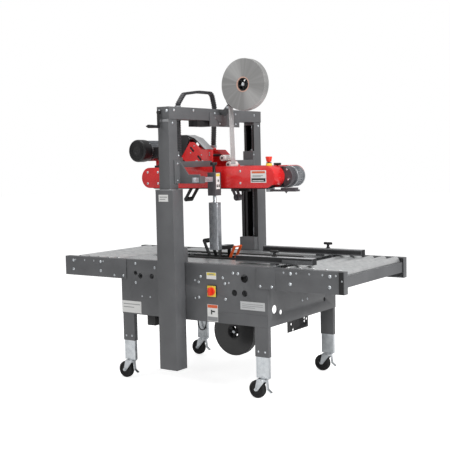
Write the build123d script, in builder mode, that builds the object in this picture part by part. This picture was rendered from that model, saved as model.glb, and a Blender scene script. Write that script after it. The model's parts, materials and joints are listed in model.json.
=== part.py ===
from build123d import *
from math import atan2, cos, pi, radians, sin, tan
import os

# Carton sealer with a roller bed, two columns and a head that is cranked up and down.
# Frame: +X is the way the carton travels, +Y goes to the rear side, +Z is up, floor at Z = 0.

os.makedirs("parts", exist_ok=True)

# ---- driving sizes (mm) ----
BED_X0 = -986          # infeed end of the bed
BED_X1 = 986           # exit end of the bed
BED_Z = 727            # top of the side rails
RAIL_H = 118           # depth of a side rail
RAIL_T = 4             # sheet of the side rails
RAIL_LIP = 40          # inward flange of a side rail
CAB_X = 523            # half length of the cabinet
CAB_Y = 386            # half width of the cabinet
CAB_Z = 398            # bottom edge of the cabinet
CAB_T = 3              # sheet of the cabinet
END_TOP = 660          # top of the cabinet's end panels
SPLICE_IN = -479       # where the infeed rail stops on the cabinet
SPLICE_OUT = 454       # where the exit rail starts on the cabinet

ROLLER_R = 25
ROLLER_PITCH = 78
ROLLER_N = 5
ROLLER_PROUD = 4       # how far the rollers stand above the rails
ROLLER_HALF = 345      # half length of a roller tube
AXLE_R = 6
INFEED_X = -900        # first infeed roller
EXIT_X = 626           # first exit roller
RUN_FIT = 0.08         # radial clearance of a running fit

COL_X = -95            # columns' centre along the bed
LOW_W = 124            # lower column along X
LOW_D = 95             # lower column along Y
LOW_T = 4
LOW_Y = 391            # inner face of the lower column
LOW_Z0 = 116
LOW_Z1 = 1150
LOW_GAP = 92           # width of the opening in the lower column
LOW_SLOT_Z = 812       # where that opening starts
UP_W = 77
UP_D = 77
UP_T = 3
UP_Y = 400             # inner face of the upper column
UP_Z0 = 610
UP_Z1 = 1529
UP_GAP = 50
CAP_H = 17             # block that closes the upper column
BEAM_W = 85
BEAM_H = 70
BEAM_T = 4
BEAM_Y = 477

SCREW_R = 8
SCREW_Y = 438
GEAR_R = 10.8
GEAR_GAP = 0.4
GEAR_L = 16
SHAFT_R = 6
CRANK_UP = 39          # crank shaft above the beam's underside
CRANK_ARM = 80
GRIP_R = 10
GRIP_L = 90

HEAD_X0 = -520         # head covers, infeed end
HEAD_X1 = 446          # head covers, exit end
HEAD_Z0 = 1147
HEAD_H = 125
HEAD_Y = 172           # outer face of a cover
HEAD_IN = 62           # inner face of a cover
HEAD_T = 3
BELT_Y = 117           # centre of each belt
BELT_W = 50
BELT_T = 4
BELT_PROUD = 6         # how far a belt stands out of its cover or bed
PULLEY_R = 30
PULLEY_W = 54
BELT_GAP = 0.4
UP_PUL_X0 = -440
UP_PUL_X1 = 366
LO_PUL_X0 = -430
LO_PUL_X1 = 430
PUL_SHAFT_R = 10

TAPE_W = 48
ROLL_R = 152.5
CORE_R = 38
UP_ROLL_X = 148
UP_ROLL_UP = 204       # upper roll's centre above the beam's underside
LO_ROLL = (45, 272)
LO_ROLL_R = 145
ROLL_Y0 = -26          # front face of both rolls

LEG_X = 476            # leg centres
LEG_Y = 370
LEG_W = 87
LEG_D = 28
LEG_T = 3
SLEEVE_Z = 233
TUBE_Z = 115
WHEEL_R = 50
WHEEL_W = 32
TRAIL = 40             # how far a wheel's axle trails its swivel

GUIDE_H = 35
GUIDE_W = 45
GUIDE_Z = 737
GUIDE_Y = 258          # centre of each side guide
GUIDE_X1 = 742         # exit end of the front side guide
GUIDE_REAR_X1 = 776    # and of the rear one
GUIDE_FOOT_X = 490

CHAIN_W = 30
CHAIN_T = 16
CHAIN_Y0 = -256        # fixed end of the cable chain
CHAIN_Y1 = 94          # end on the head
CHAIN_Z0 = 1300
CHAIN_Z1 = 1385

CROSS_BARS = (-430, -250, 100, 430)
BAR_W = 24
BAR_Z = 630            # top of the cabinet's cross bars

# ---- worked out from them ----
ROLLER_Z = BED_Z + ROLLER_PROUD - ROLLER_R
HEAD_Z1 = HEAD_Z0 + HEAD_H
HEAD_R = HEAD_H / 2
HEAD_CZ = HEAD_Z0 + HEAD_R
UP_PUL_Z = HEAD_Z0 - BELT_PROUD + BELT_T + BELT_GAP + PULLEY_R
LO_PUL_Z = BED_Z + BELT_PROUD - BELT_T - BELT_GAP - PULLEY_R
BEAM_Z0 = UP_Z1 + CAP_H
BEAM_Z1 = BEAM_Z0 + BEAM_H
CRANK_Z = BEAM_Z0 + CRANK_UP
UP_ROLL = (UP_ROLL_X, BEAM_Z0 + UP_ROLL_UP)
CRANK_X = COL_X - 2 * GEAR_R - GEAR_GAP
CHAIN_X = COL_X - BEAM_W / 2 - 22
INFEED_ROLLERS = [INFEED_X + i * ROLLER_PITCH for i in range(ROLLER_N)]
EXIT_ROLLERS = [EXIT_X + i * ROLLER_PITCH for i in range(ROLLER_N)]
MIRROR_SIDES = (-1, 1)
HUB_Y = -BEAM_Y - 4
PIN_END = HUB_Y - 14 - GRIP_L - 4
# Everything is drawn about the bed's middle, then moved so that Y = 0 halves the overall width.
CENTRE_Y = (-PIN_END - LOW_Y - LOW_D) / 2


def save(part, name):
    placed = part.moved(Location((0, CENTRE_Y, 0)))
    placed.label = name
    export_step(placed, f"parts/{name}.step")


def block(x0, x1, y0, y1, z0, z1, mode=Mode.ADD):
    """A box from its corners, added to the part being built."""
    with BuildSketch(Plane.XY.offset(z0)) as face:
        with Locations(((x0 + x1) / 2, (y0 + y1) / 2)):
            Rectangle(x1 - x0, y1 - y0)
    extrude(face.sketch, amount=z1 - z0, mode=mode)


def rod_y(x, z, r, y0, y1, mode=Mode.ADD):
    """A round bar along Y."""
    with BuildSketch(Plane.XZ.offset(-y0)) as face:
        with Locations((x, z)):
            Circle(r)
    extrude(face.sketch, amount=-(y1 - y0), mode=mode)


def rod_x(y, z, r, x0, x1, mode=Mode.ADD):
    """A round bar along X."""
    with BuildSketch(Plane.YZ.offset(x0)) as face:
        with Locations((y, z)):
            Circle(r)
    extrude(face.sketch, amount=x1 - x0, mode=mode)


def rod_z(x, y, r, z0, z1, mode=Mode.ADD):
    """A round bar along Z."""
    with BuildSketch(Plane.XY.offset(z0)) as face:
        with Locations((x, y)):
            Circle(r)
    extrude(face.sketch, amount=z1 - z0, mode=mode)


def plate_xz(points, y0, y1, mode=Mode.ADD):
    """A flat plate with an outline in X and Z, from y0 to y1."""
    with BuildSketch(Plane.XZ.offset(-y0)) as face:
        with BuildLine():
            Polyline(*points, close=True)
        make_face()
    extrude(face.sketch, amount=-(y1 - y0), mode=mode)


def stadium_xz(x0, x1, cz, r, y0, y1, mode=Mode.ADD):
    """A slot-shaped plate lying along X, rounded at both ends."""
    with BuildSketch(Plane.XZ.offset(-y0)) as face:
        with Locations(((x0 + x1) / 2, cz)):
            SlotOverall(x1 - x0, 2 * r)
    extrude(face.sketch, amount=-(y1 - y0), mode=mode)


# ================= cabinet =================
PANEL_HOLES = ((-410, 648, 13), (-373, 632, 16), (-285, 634, 16), (304, 575, 18), (372, 576, 18),
               (372, 659, 24))

SWITCH = (153, 575)
SWITCH_R = 5

with BuildPart() as base_cabinet:
    block(-CAB_X, CAB_X, -CAB_Y, CAB_Y, CAB_Z, BED_Z)
    block(-CAB_X + CAB_T, CAB_X - CAB_T, -CAB_Y + CAB_T, CAB_Y - CAB_T, CAB_Z, BED_Z, Mode.SUBTRACT)
    block(-CAB_X, CAB_X, -CAB_Y + RAIL_LIP, CAB_Y - RAIL_LIP, END_TOP, BED_Z, Mode.SUBTRACT)
    # top and bottom flanges along both long sides
    for s in MIRROR_SIDES:
        y0, y1 = sorted((s * CAB_Y, s * (CAB_Y - RAIL_LIP)))
        block(-CAB_X, CAB_X, y0, y1, BED_Z - CAB_T, BED_Z)
        y0, y1 = sorted((s * CAB_Y, s * (CAB_Y - 20)))
        block(-CAB_X, CAB_X, y0, y1, CAB_Z, CAB_Z + CAB_T)
    for x, z, r in PANEL_HOLES:
        rod_y(x, z, r, -CAB_Y - 1, -CAB_Y + CAB_T + 1, Mode.SUBTRACT)
        rod_y(x, z, r, CAB_Y - CAB_T - 1, CAB_Y + 1, Mode.SUBTRACT)
    rod_y(*SWITCH, SWITCH_R + RUN_FIT, -CAB_Y - 1, -CAB_Y + CAB_T + 1, Mode.SUBTRACT)
    # hand holes in the end panels
    for s in MIRROR_SIDES:
        x0, x1 = sorted((s * (CAB_X + 1), s * (CAB_X - CAB_T - 1)))
        rod_x(-321, 491, 23, x0, x1, Mode.SUBTRACT)
        rod_x(-255, 466, 13, x0, x1, Mode.SUBTRACT)
        rod_x(245, 467, 13, x0, x1, Mode.SUBTRACT)
    # leg sleeves, welded into the four corners
    for sx in MIRROR_SIDES:
        for sy in MIRROR_SIDES:
            cx = sx * LEG_X
            cy = sy * LEG_Y
            block(cx - LEG_W / 2, cx + LEG_W / 2, cy - LEG_D / 2, cy + LEG_D / 2, SLEEVE_Z, CAB_Z + 150)
            block(cx - LEG_W / 2 + LEG_T, cx + LEG_W / 2 - LEG_T, cy - LEG_D / 2 + LEG_T,
                  cy + LEG_D / 2 - LEG_T, SLEEVE_Z, CAB_Z + 150, Mode.SUBTRACT)
    # cross bars that carry the bed plates and the belt drives
    for x in CROSS_BARS:
        block(x - BAR_W / 2, x + BAR_W / 2, -CAB_Y + CAB_T, CAB_Y - CAB_T, BAR_Z - 20, BAR_Z)
save(base_cabinet.part, "base_cabinet")

# ================= bed =================
PLATE_T = 3
SLOT_HALF = BELT_W / 2 + 3
TAPE_SLOT = 60
with BuildPart() as bed_plates:
    block(-CAB_X, CAB_X, -CAB_Y + RAIL_LIP, CAB_Y - RAIL_LIP, BED_Z - PLATE_T, BED_Z)
    block(-CAB_X + 30, CAB_X - 30, -TAPE_SLOT, TAPE_SLOT, BED_Z - PLATE_T, BED_Z, Mode.SUBTRACT)
    for s in MIRROR_SIDES:
        block(LO_PUL_X0 - 50, LO_PUL_X1 + 50, s * BELT_Y - SLOT_HALF, s * BELT_Y + SLOT_HALF,
              BED_Z - PLATE_T, BED_Z, Mode.SUBTRACT)
        # slot that each side guide's stem slides in
        block(GUIDE_FOOT_X - 6, GUIDE_FOOT_X + 6, s * GUIDE_Y - 80, s * GUIDE_Y + 80,
              BED_Z - PLATE_T, BED_Z, Mode.SUBTRACT)
        # webs down to the cabinet's cross bars
        for x in CROSS_BARS:
            block(x - 2, x + 2, s * 250 - 60, s * 250 + 60, BAR_Z, BED_Z - PLATE_T)
save(bed_plates.part, "bed_plates")


def end_frame(x_end, x_cab, x_web, rollers):
    """Two side rails and their cross member, one weldment; x_web is where the rail stops."""
    d = 1 if x_end > 0 else -1
    flange_end = x_cab + d * 1.0
    for s in MIRROR_SIDES:
        out = s * (CAB_Y + RAIL_T)
        y0, y1 = sorted((out, s * CAB_Y))
        x0, x1 = sorted((x_end, x_web))
        block(x0, x1, y0, y1, BED_Z - RAIL_H, BED_Z)
        y0, y1 = sorted((out, out - s * RAIL_LIP))
        x0, x1 = sorted((x_end, flange_end))
        block(x0, x1, y0, y1, BED_Z - RAIL_T, BED_Z)
        block(x0, x1, y0, y1, BED_Z - RAIL_H, BED_Z - RAIL_H + RAIL_T)
        x0, x1 = sorted((x_end, x_end - d * RAIL_T))
        block(x0, x1, y0, y1, BED_Z - RAIL_H, BED_Z)
    x0, x1 = sorted((x_end - d * 10, x_end - d * 14))
    block(x0, x1, -CAB_Y, CAB_Y, 641, 700)
    x0, x1 = sorted((x_end - d * RAIL_T, x_end - d * 24))
    for s in MIRROR_SIDES:
        y0, y1 = sorted((s * CAB_Y, s * (CAB_Y - 4)))
        block(x0, x1, y0, y1, 641, 700)
    for x in rollers:
        rod_y(x, ROLLER_Z, AXLE_R + RUN_FIT, -CAB_Y - RAIL_T - 1, CAB_Y + RAIL_T + 1, Mode.SUBTRACT)


with BuildPart() as infeed_frame:
    end_frame(BED_X0, -CAB_X, SPLICE_IN, INFEED_ROLLERS)
save(infeed_frame.part, "infeed_frame")

with BuildPart() as exit_frame:
    end_frame(BED_X1, CAB_X, SPLICE_OUT, EXIT_ROLLERS)
save(exit_frame.part, "exit_frame")

for side, places in (("infeed", INFEED_ROLLERS), ("exit", EXIT_ROLLERS)):
    for i, x in enumerate(places):
        with BuildPart() as roller:
            rod_y(x, ROLLER_Z, ROLLER_R, -ROLLER_HALF, ROLLER_HALF)
            fillet(roller.edges().filter_by(GeomType.CIRCLE), 2)
            rod_y(x, ROLLER_Z, AXLE_R, -CAB_Y - RAIL_T + 1, CAB_Y + RAIL_T - 1)
        save(roller.part, f"{side}_roller_{i + 1}")

# ================= belt drives =================


def belt_loop(x0, x1, cz, y):
    """A flat belt round two pulleys of one size."""
    r_in = PULLEY_R + BELT_GAP
    r_out = r_in + BELT_T
    y0 = y - BELT_W / 2
    y1 = y + BELT_W / 2
    stadium_xz(x0 - r_out, x1 + r_out, cz, r_out, y0, y1)
    stadium_xz(x0 - r_in, x1 + r_in, cz, r_in, y0, y1, Mode.SUBTRACT)


def pulley_shaft(x, cz, half):
    """A shaft along Y with a pulley for each belt."""
    rod_y(x, cz, PUL_SHAFT_R, -half, half)
    for s in MIRROR_SIDES:
        rod_y(x, cz, PULLEY_R, s * BELT_Y - PULLEY_W / 2, s * BELT_Y + PULLEY_W / 2)


with BuildPart() as lower_belts:
    for s in MIRROR_SIDES:
        belt_loop(LO_PUL_X0, LO_PUL_X1, LO_PUL_Z, s * BELT_Y)
save(lower_belts.part, "lower_belts")

with BuildPart() as upper_belts:
    for s in MIRROR_SIDES:
        belt_loop(UP_PUL_X0, UP_PUL_X1, UP_PUL_Z, s * BELT_Y)
save(upper_belts.part, "upper_belts")

LO_SHAFT_HALF = 150
for name, x in (("lower_drive_shaft", LO_PUL_X1), ("lower_idler_shaft", LO_PUL_X0)):
    with BuildPart() as shaft:
        pulley_shaft(x, LO_PUL_Z, LO_SHAFT_HALF)
    save(shaft.part, name)

for name, x in (("upper_drive_shaft", UP_PUL_X1), ("upper_idler_shaft", UP_PUL_X0)):
    with BuildPart() as shaft:
        pulley_shaft(x, UP_PUL_Z, HEAD_Y - HEAD_T - 0.5)
    save(shaft.part, name)

# ================= lower tape head =================
TH_Y = 54              # inner face of a tape head's side plate
TH_T = 4
LTH_X0 = -300
LTH_X1 = 120
LO_ARM_PIVOT = (-75, 640)
LO_ARM_TIP = (-155, 818)
LO_BUFF_PIVOT = (0, 650)
LO_BUFF_TIP = (70, 790)
UP_ARM_PIVOT = (-190, 1215)
UP_ARM_TIP = (-290, 1072)
UP_BUFF_PIVOT = (30, 1195)
UP_BUFF_TIP = (80, 1085)
ARM_HALF = 36
PIVOT_R = 5
with BuildPart() as lower_tape_head:
    for s in MIRROR_SIDES:
        y0, y1 = sorted((s * TH_Y, s * (TH_Y + TH_T)))
        plate_xz(((LTH_X0, 560), (LTH_X1, 560), (LTH_X1, BED_Z - 2), (LTH_X0, BED_Z - 2)), y0, y1)
    # spacers that tie the plates, and a knife housing behind the roller
    for x, z in ((-200, 585), (-30, 585)):
        rod_y(x, z, 9, -TH_Y, TH_Y)
    for x, z in (LO_ARM_PIVOT, LO_BUFF_PIVOT):
        rod_y(x, z, PIVOT_R, -TH_Y, TH_Y)
    # knife housing that stands above the bed, on two posts
    block(-40, 8, -50, 50, 772, 796)
    for s in MIRROR_SIDES:
        y0, y1 = sorted((s * 44, s * TH_Y))
        block(-36, -16, y0, y1, BED_Z - 40, 772)
    # notches that seat the plates on the cabinet's cross bars
    for x in CROSS_BARS[1:3]:
        block(x - BAR_W / 2 - 0.5, x + BAR_W / 2 + 0.5, -TH_Y - 10, TH_Y + 10, BAR_Z - 80, BAR_Z,
              Mode.SUBTRACT)
    # bearing plates for the belt shafts
    for x in (LO_PUL_X0, LO_PUL_X1):
        for s in MIRROR_SIDES:
            y0, y1 = sorted((s * 70, s * 78))
            block(x - 25, x + 25, y0, y1, BAR_Z, LO_PUL_Z + 16)
        rod_y(x, LO_PUL_Z, PUL_SHAFT_R + RUN_FIT, -90, 90, Mode.SUBTRACT)
save(lower_tape_head.part, "lower_tape_head")


def swing_arm(px, pz, tx, tz, y_half, bar, roller_r):
    """Two parallel arms from a pivot to a roller, tied at the pivot."""
    a = atan2(tz - pz, tx - px)
    nx = -sin(a) * bar / 2
    nz = cos(a) * bar / 2
    outline = ((px + nx, pz + nz), (px - nx, pz - nz), (tx - nx, tz - nz), (tx + nx, tz + nz))
    for s in MIRROR_SIDES:
        y0, y1 = sorted((s * y_half, s * (y_half - 5)))
        plate_xz(outline, y0, y1)
        rod_y(px, pz, bar / 2, y0, y1)
        rod_y(tx, tz, bar / 2, y0, y1)
    rod_y(px, pz, 8, -y_half, y_half)
    rod_y(tx, tz, roller_r, -y_half + 5, y_half - 5)


with BuildPart() as lower_apply_arm:
    swing_arm(*LO_ARM_PIVOT, *LO_ARM_TIP, ARM_HALF, 20, 14)
    rod_y(*LO_ARM_PIVOT, PIVOT_R + RUN_FIT, -ARM_HALF, ARM_HALF, Mode.SUBTRACT)
save(lower_apply_arm.part, "lower_apply_arm")

with BuildPart() as lower_buff_arm:
    swing_arm(*LO_BUFF_PIVOT, *LO_BUFF_TIP, ARM_HALF, 16, 5)
    rod_y(*LO_BUFF_PIVOT, PIVOT_R + RUN_FIT, -ARM_HALF, ARM_HALF, Mode.SUBTRACT)
save(lower_buff_arm.part, "lower_buff_arm")

# ================= lower tape roll and brackets under the cabinet =================


def tape_roll(x, z, r):
    """A roll of tape on its core, with the hub that it turns on."""
    y0 = ROLL_Y0
    y1 = ROLL_Y0 + TAPE_W
    rod_y(x, z, r, y0, y1)
    rod_y(x, z, CORE_R - 4, y0 - 1, y0 + 4, Mode.SUBTRACT)
    rod_y(x, z, 14, y0 - 2, y0 + 4)
    rod_y(x, z, AXLE_R + RUN_FIT, y0 - 3, y1 + 1, Mode.SUBTRACT)


ROLL_PLATE_Y = ROLL_Y0 + TAPE_W + 3
PLATE_ROLL_T = 5
with BuildPart() as lower_tape_roll:
    tape_roll(*LO_ROLL, LO_ROLL_R)
save(lower_tape_roll.part, "lower_tape_roll")

with BuildPart() as under_brackets:
    # hanger for the lower roll, bolted to the inside of the lower tape head's rear plate
    rx, rz = LO_ROLL
    block(rx - 20, rx + 20, TH_Y - 4, TH_Y, 450, 600)
    block(rx - 20, rx + 20, ROLL_PLATE_Y, TH_Y, 450, 456)
    block(rx - 20, rx + 20, ROLL_PLATE_Y, ROLL_PLATE_Y + PLATE_ROLL_T, rz - 20, 456)
    rod_y(rx, rz, AXLE_R, ROLL_Y0 - 1, ROLL_PLATE_Y)
    # drilled plate under the exit end, hung from a cross bar of the cabinet
    block(397, 401, 18, 258, 290, BAR_Z - 20)
    for y, hz in ((60, 335), (215, 330), (215, 350), (240, 340), (80, 300)):
        rod_x(y, hz, 8, 396, 402, Mode.SUBTRACT)
    block(397, 442, 100, 140, BAR_Z - 24, BAR_Z - 20)
    # small box under the infeed end, on the front panel's flange
    block(-330, -270, -CAB_Y + CAB_T, -300, 340, CAB_Z)
save(under_brackets.part, "under_brackets")

# ================= legs and casters =================
TUBE_GAP = 0.5
with BuildPart() as leg_tubes:
    for sx in MIRROR_SIDES:
        for sy in MIRROR_SIDES:
            cx = sx * LEG_X
            cy = sy * LEG_Y
            w = LEG_W / 2 - LEG_T - TUBE_GAP
            d = LEG_D / 2 - LEG_T - TUBE_GAP
            block(cx - w, cx + w, cy - d, cy + d, TUBE_Z, CAB_Z + 60)
            block(cx - w + 3, cx + w - 3, cy - d + 3, cy + d - 3, TUBE_Z + 4, CAB_Z + 60, Mode.SUBTRACT)
            rod_z(cx, cy, PIVOT_R + RUN_FIT, TUBE_Z - 1, TUBE_Z + 5, Mode.SUBTRACT)
            # clamp pads between the tube and its sleeve
            for s in MIRROR_SIDES:
                y0, y1 = sorted((cy + s * d, cy + s * (d + TUBE_GAP)))
                block(cx - 10, cx + 10, y0, y1, SLEEVE_Z + 20, SLEEVE_Z + 40)
save(leg_tubes.part, "leg_tubes")

FORK_T = 3
FORK_GAP = 2
AXLE_FIT = 0.06
for tag_x, sx in (("infeed", -1), ("exit", 1)):
    for tag_y, sy in (("front", -1), ("rear", 1)):
        cx = sx * LEG_X
        cy = sy * LEG_Y
        wx = cx - TRAIL
        side = WHEEL_W / 2 + FORK_GAP
        with BuildPart() as fork:
            # top plate under the leg tube, and its kingpin
            block(cx - 32, cx + 24, cy - side - FORK_T, cy + side + FORK_T, TUBE_Z - 8.3, TUBE_Z - 4.3)
            rod_z(cx, cy, 14, TUBE_Z - 4.3, TUBE_Z - 0.3)
            rod_z(cx, cy, PIVOT_R, TUBE_Z - 5, TUBE_Z + 14)
            rod_z(cx, cy, 7, TUBE_Z + 5, TUBE_Z + 9)
            for s in MIRROR_SIDES:
                y0, y1 = sorted((cy + s * side, cy + s * (side + FORK_T)))
                plate_xz(((cx - 32, TUBE_Z - 5), (cx + 24, TUBE_Z - 5), (cx + 6, TUBE_Z - 28),
                          (wx + 9, WHEEL_R - 8), (wx - 9, WHEEL_R - 8)), y0, y1)
            rod_y(wx, WHEEL_R, PIVOT_R, cy - side - FORK_T - 2, cy + side + FORK_T + 2)
            # brake pedal behind the wheel
            plate_xz(((cx + 20, TUBE_Z - 8), (cx + 24, TUBE_Z - 8), (cx + 30, 56), (cx + 52, 40),
                      (cx + 50, 36), (cx + 24, 54)), cy - 9, cy + 9)
        save(fork.part, f"caster_fork_{tag_x}_{tag_y}")
        with BuildPart() as wheel:
            rod_y(wx, WHEEL_R, WHEEL_R, cy - WHEEL_W / 2, cy + WHEEL_W / 2)
            fillet(wheel.edges().filter_by(GeomType.CIRCLE), 5)
            rod_y(wx, WHEEL_R, PIVOT_R + AXLE_FIT, cy - WHEEL_W, cy + WHEEL_W, Mode.SUBTRACT)
        save(wheel.part, f"caster_wheel_{tag_x}_{tag_y}")

# ================= columns and beam =================
COL_X0 = COL_X - LOW_W / 2
COL_X1 = COL_X + LOW_W / 2
UP_X0 = COL_X - UP_W / 2
UP_X1 = COL_X + UP_W / 2


def span(s, a, b):
    """Two Y values on one side of the machine, in rising order."""
    return sorted((s * a, s * b))


with BuildPart() as lower_columns:
    for s in MIRROR_SIDES:
        y0, y1 = span(s, LOW_Y, LOW_Y + LOW_D)
        block(COL_X0, COL_X1, y0, y1, LOW_Z0, LOW_Z1)
        y0, y1 = span(s, LOW_Y + LOW_T, LOW_Y + LOW_D - LOW_T)
        block(COL_X0 + LOW_T, COL_X1 - LOW_T, y0, y1, LOW_Z0 - 1, LOW_Z1 - LOW_T, Mode.SUBTRACT)
        # opening for the carriage, and the upper column's way through the top plate
        y0, y1 = span(s, LOW_Y - 1, LOW_Y + LOW_T + 1)
        block(COL_X - LOW_GAP / 2, COL_X + LOW_GAP / 2, y0, y1, LOW_SLOT_Z, LOW_Z1 + 1, Mode.SUBTRACT)
        y0, y1 = span(s, LOW_Y - 1, UP_Y + UP_D)
        block(UP_X0, UP_X1, y0, y1, LOW_Z1 - LOW_T - 1, LOW_Z1 + 1, Mode.SUBTRACT)
        # pads that hold the upper column
        for z in (UP_Z0 + 20, LOW_Z1 - LOW_T - 50):
            y0, y1 = span(s, UP_Y + 5, UP_Y + UP_D - 5)
            block(COL_X0 + LOW_T, UP_X0, y0, y1, z, z + 50)
            block(UP_X1, COL_X1 - LOW_T, y0, y1, z, z + 50)
        # mounting pads on the cabinet
        y0, y1 = span(s, CAB_Y, LOW_Y)
        block(COL_X - 50, COL_X + 50, y0, y1, 420, BED_Z - 4)
        # folded foot bracket that stands on the bed's edge
        y0, y1 = span(s, CAB_Y - RAIL_LIP + 6, LOW_Y)
        block(COL_X - 56, COL_X + 56, y0, y1, BED_Z, LOW_SLOT_Z)
        y0, y1 = span(s, CAB_Y - RAIL_LIP + 10, LOW_Y)
        block(COL_X - 52, COL_X + 52, y0, y1, BED_Z + 4, LOW_SLOT_Z + 1, Mode.SUBTRACT)
save(lower_columns.part, "lower_columns")

with BuildPart() as upper_columns:
    for s in MIRROR_SIDES:
        y0, y1 = span(s, UP_Y, UP_Y + UP_D)
        block(UP_X0, UP_X1, y0, y1, UP_Z0, BEAM_Z0)
        y0, y1 = span(s, UP_Y + UP_T, UP_Y + UP_D - UP_T)
        block(UP_X0 + UP_T, UP_X1 - UP_T, y0, y1, UP_Z0 + 30, UP_Z1, Mode.SUBTRACT)
        y0, y1 = span(s, UP_Y - 1, UP_Y + UP_T + 1)
        block(COL_X - UP_GAP / 2, COL_X + UP_GAP / 2, y0, y1, LOW_SLOT_Z, UP_Z1, Mode.SUBTRACT)
        # screw bearings, blind at the foot and open at the top
        rod_z(COL_X, s * SCREW_Y, SCREW_R + RUN_FIT, UP_Z0 + 15, UP_Z0 + 31, Mode.SUBTRACT)
        rod_z(COL_X, s * SCREW_Y, SCREW_R + RUN_FIT, UP_Z1 - 1, BEAM_Z0 + 1, Mode.SUBTRACT)
    # bracket behind the front column that holds the cable chain's fixed end
    block(UP_X0 - 8, UP_X0, -UP_Y - 40, -UP_Y, 1290, 1330)
    block(UP_X0 - 8, UP_X0 - 4, -UP_Y, CHAIN_Y0 + CHAIN_T / 2, 1290, 1330)
    block(CHAIN_X - CHAIN_W / 2, UP_X0 - 4, CHAIN_Y0 - CHAIN_T / 2, CHAIN_Y0 + CHAIN_T / 2, 1290, 1300)
save(upper_columns.part, "upper_columns")

with BuildPart() as top_beam:
    bx0 = COL_X - BEAM_W / 2
    bx1 = COL_X + BEAM_W / 2
    block(bx0, bx1, -BEAM_Y, BEAM_Y, BEAM_Z0, BEAM_Z1)
    block(bx0 + BEAM_T, bx1 - BEAM_T, -BEAM_Y + BEAM_T, BEAM_Y - BEAM_T, BEAM_Z0 + BEAM_T,
          BEAM_Z1 - BEAM_T, Mode.SUBTRACT)
    for s in MIRROR_SIDES:
        rod_z(COL_X, s * SCREW_Y, SCREW_R + RUN_FIT, BEAM_Z0 - 1, BEAM_Z0 + BEAM_T + 1, Mode.SUBTRACT)
    rod_y(CRANK_X, CRANK_Z, SHAFT_R + RUN_FIT, -BEAM_Y - 1, -BEAM_Y + BEAM_T + 1, Mode.SUBTRACT)
    # inner bearing for the far end of the cross shaft
    block(CRANK_X - 12, CRANK_X + 12, SCREW_Y + 20, SCREW_Y + 26, BEAM_Z0 + BEAM_T, CRANK_Z + 14)
    rod_y(CRANK_X, CRANK_Z, SHAFT_R + RUN_FIT, SCREW_Y + 19, SCREW_Y + 27, Mode.SUBTRACT)
    # hollow box under the beam, open towards the rear
    block(bx0 + 4, bx1 - 16, -190, -60, BEAM_Z0 - 36, BEAM_Z0)
    block(bx0 + 8, bx1 - 20, -186, -59, BEAM_Z0 - 32, BEAM_Z0 - 4, Mode.SUBTRACT)
save(top_beam.part, "top_beam")

for tag, s in (("front", -1), ("rear", 1)):
    with BuildPart() as screw:
        rod_z(COL_X, s * SCREW_Y, SCREW_R, UP_Z0 + 15, CRANK_Z + GEAR_L / 2 + 4)
        rod_z(COL_X, s * SCREW_Y, GEAR_R, CRANK_Z - GEAR_L / 2, CRANK_Z + GEAR_L / 2)
    save(screw.part, f"lead_screw_{tag}")

with BuildPart() as crank_shaft:
    rod_y(CRANK_X, CRANK_Z, SHAFT_R, HUB_Y - 16, SCREW_Y + 30)
    for s in MIRROR_SIDES:
        rod_y(CRANK_X, CRANK_Z, GEAR_R, s * SCREW_Y - GEAR_L / 2, s * SCREW_Y + GEAR_L / 2)
    # arm with its hub and grip pin
    rod_y(CRANK_X, CRANK_Z, 11, HUB_Y - 14, HUB_Y)
    block(CRANK_X - 8, CRANK_X + 8, HUB_Y - 14, HUB_Y - 8, CRANK_Z - CRANK_ARM, CRANK_Z)
    rod_y(CRANK_X, CRANK_Z - CRANK_ARM, 8, HUB_Y - 14, HUB_Y - 8)
    rod_y(CRANK_X, CRANK_Z - CRANK_ARM, 4, PIN_END, HUB_Y - 10)
save(crank_shaft.part, "crank_shaft")

with BuildPart() as crank_grip:
    rod_y(CRANK_X, CRANK_Z - CRANK_ARM, GRIP_R, HUB_Y - 14.5 - GRIP_L, HUB_Y - 14.5)
    fillet(crank_grip.edges().filter_by(GeomType.CIRCLE), 3)
    rod_y(CRANK_X, CRANK_Z - CRANK_ARM, 4 + RUN_FIT, HUB_Y - 120, HUB_Y, Mode.SUBTRACT)
save(crank_grip.part, "crank_grip")

# ================= head: carriages, covers, motors =================
E_STOP = (375, -115)
E_STOP_R = 9
CAR_Z0 = 1240
CAR_Z1 = 1363
BRIDGE_Z0 = HEAD_Z1
BRIDGE_Z1 = HEAD_Z1 + 35
CAR_GAP = 0.5
with BuildPart() as head_bridge:
    for s in MIRROR_SIDES:
        # block inside the upper column, with the nut's thread bore
        y0, y1 = span(s, UP_Y + UP_T + CAR_GAP, UP_Y + UP_D - UP_T - CAR_GAP)
        block(UP_X0 + UP_T + CAR_GAP, UP_X1 - UP_T - CAR_GAP, y0, y1, CAR_Z0, CAR_Z1)
        # neck through the slot, and the outer block
        y0, y1 = span(s, UP_Y - CAR_GAP, UP_Y + UP_T + CAR_GAP)
        block(COL_X - UP_GAP / 2 + CAR_GAP, COL_X + UP_GAP / 2 - CAR_GAP, y0, y1, CAR_Z0, CAR_Z1)
        y0, y1 = span(s, UP_Y - 16, UP_Y - CAR_GAP)
        block(UP_X0, UP_X1, y0, y1, CAR_Z0, CAR_Z1)
        # arm that reaches over the cover
        y0, y1 = span(s, HEAD_IN, UP_Y - 16)
        block(COL_X - 36, COL_X + 36, y0, y1, BRIDGE_Z0, BRIDGE_Z1)
        rod_z(COL_X, s * SCREW_Y, SCREW_R + RUN_FIT, CAR_Z0 - 1, CAR_Z1 + 1, Mode.SUBTRACT)
    # bars that tie the two covers
    for x in (-360, 250):
        block(x - 10, x + 10, -HEAD_IN, HEAD_IN, HEAD_CZ + 5, HEAD_CZ + 25)
save(head_bridge.part, "head_bridge")

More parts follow.
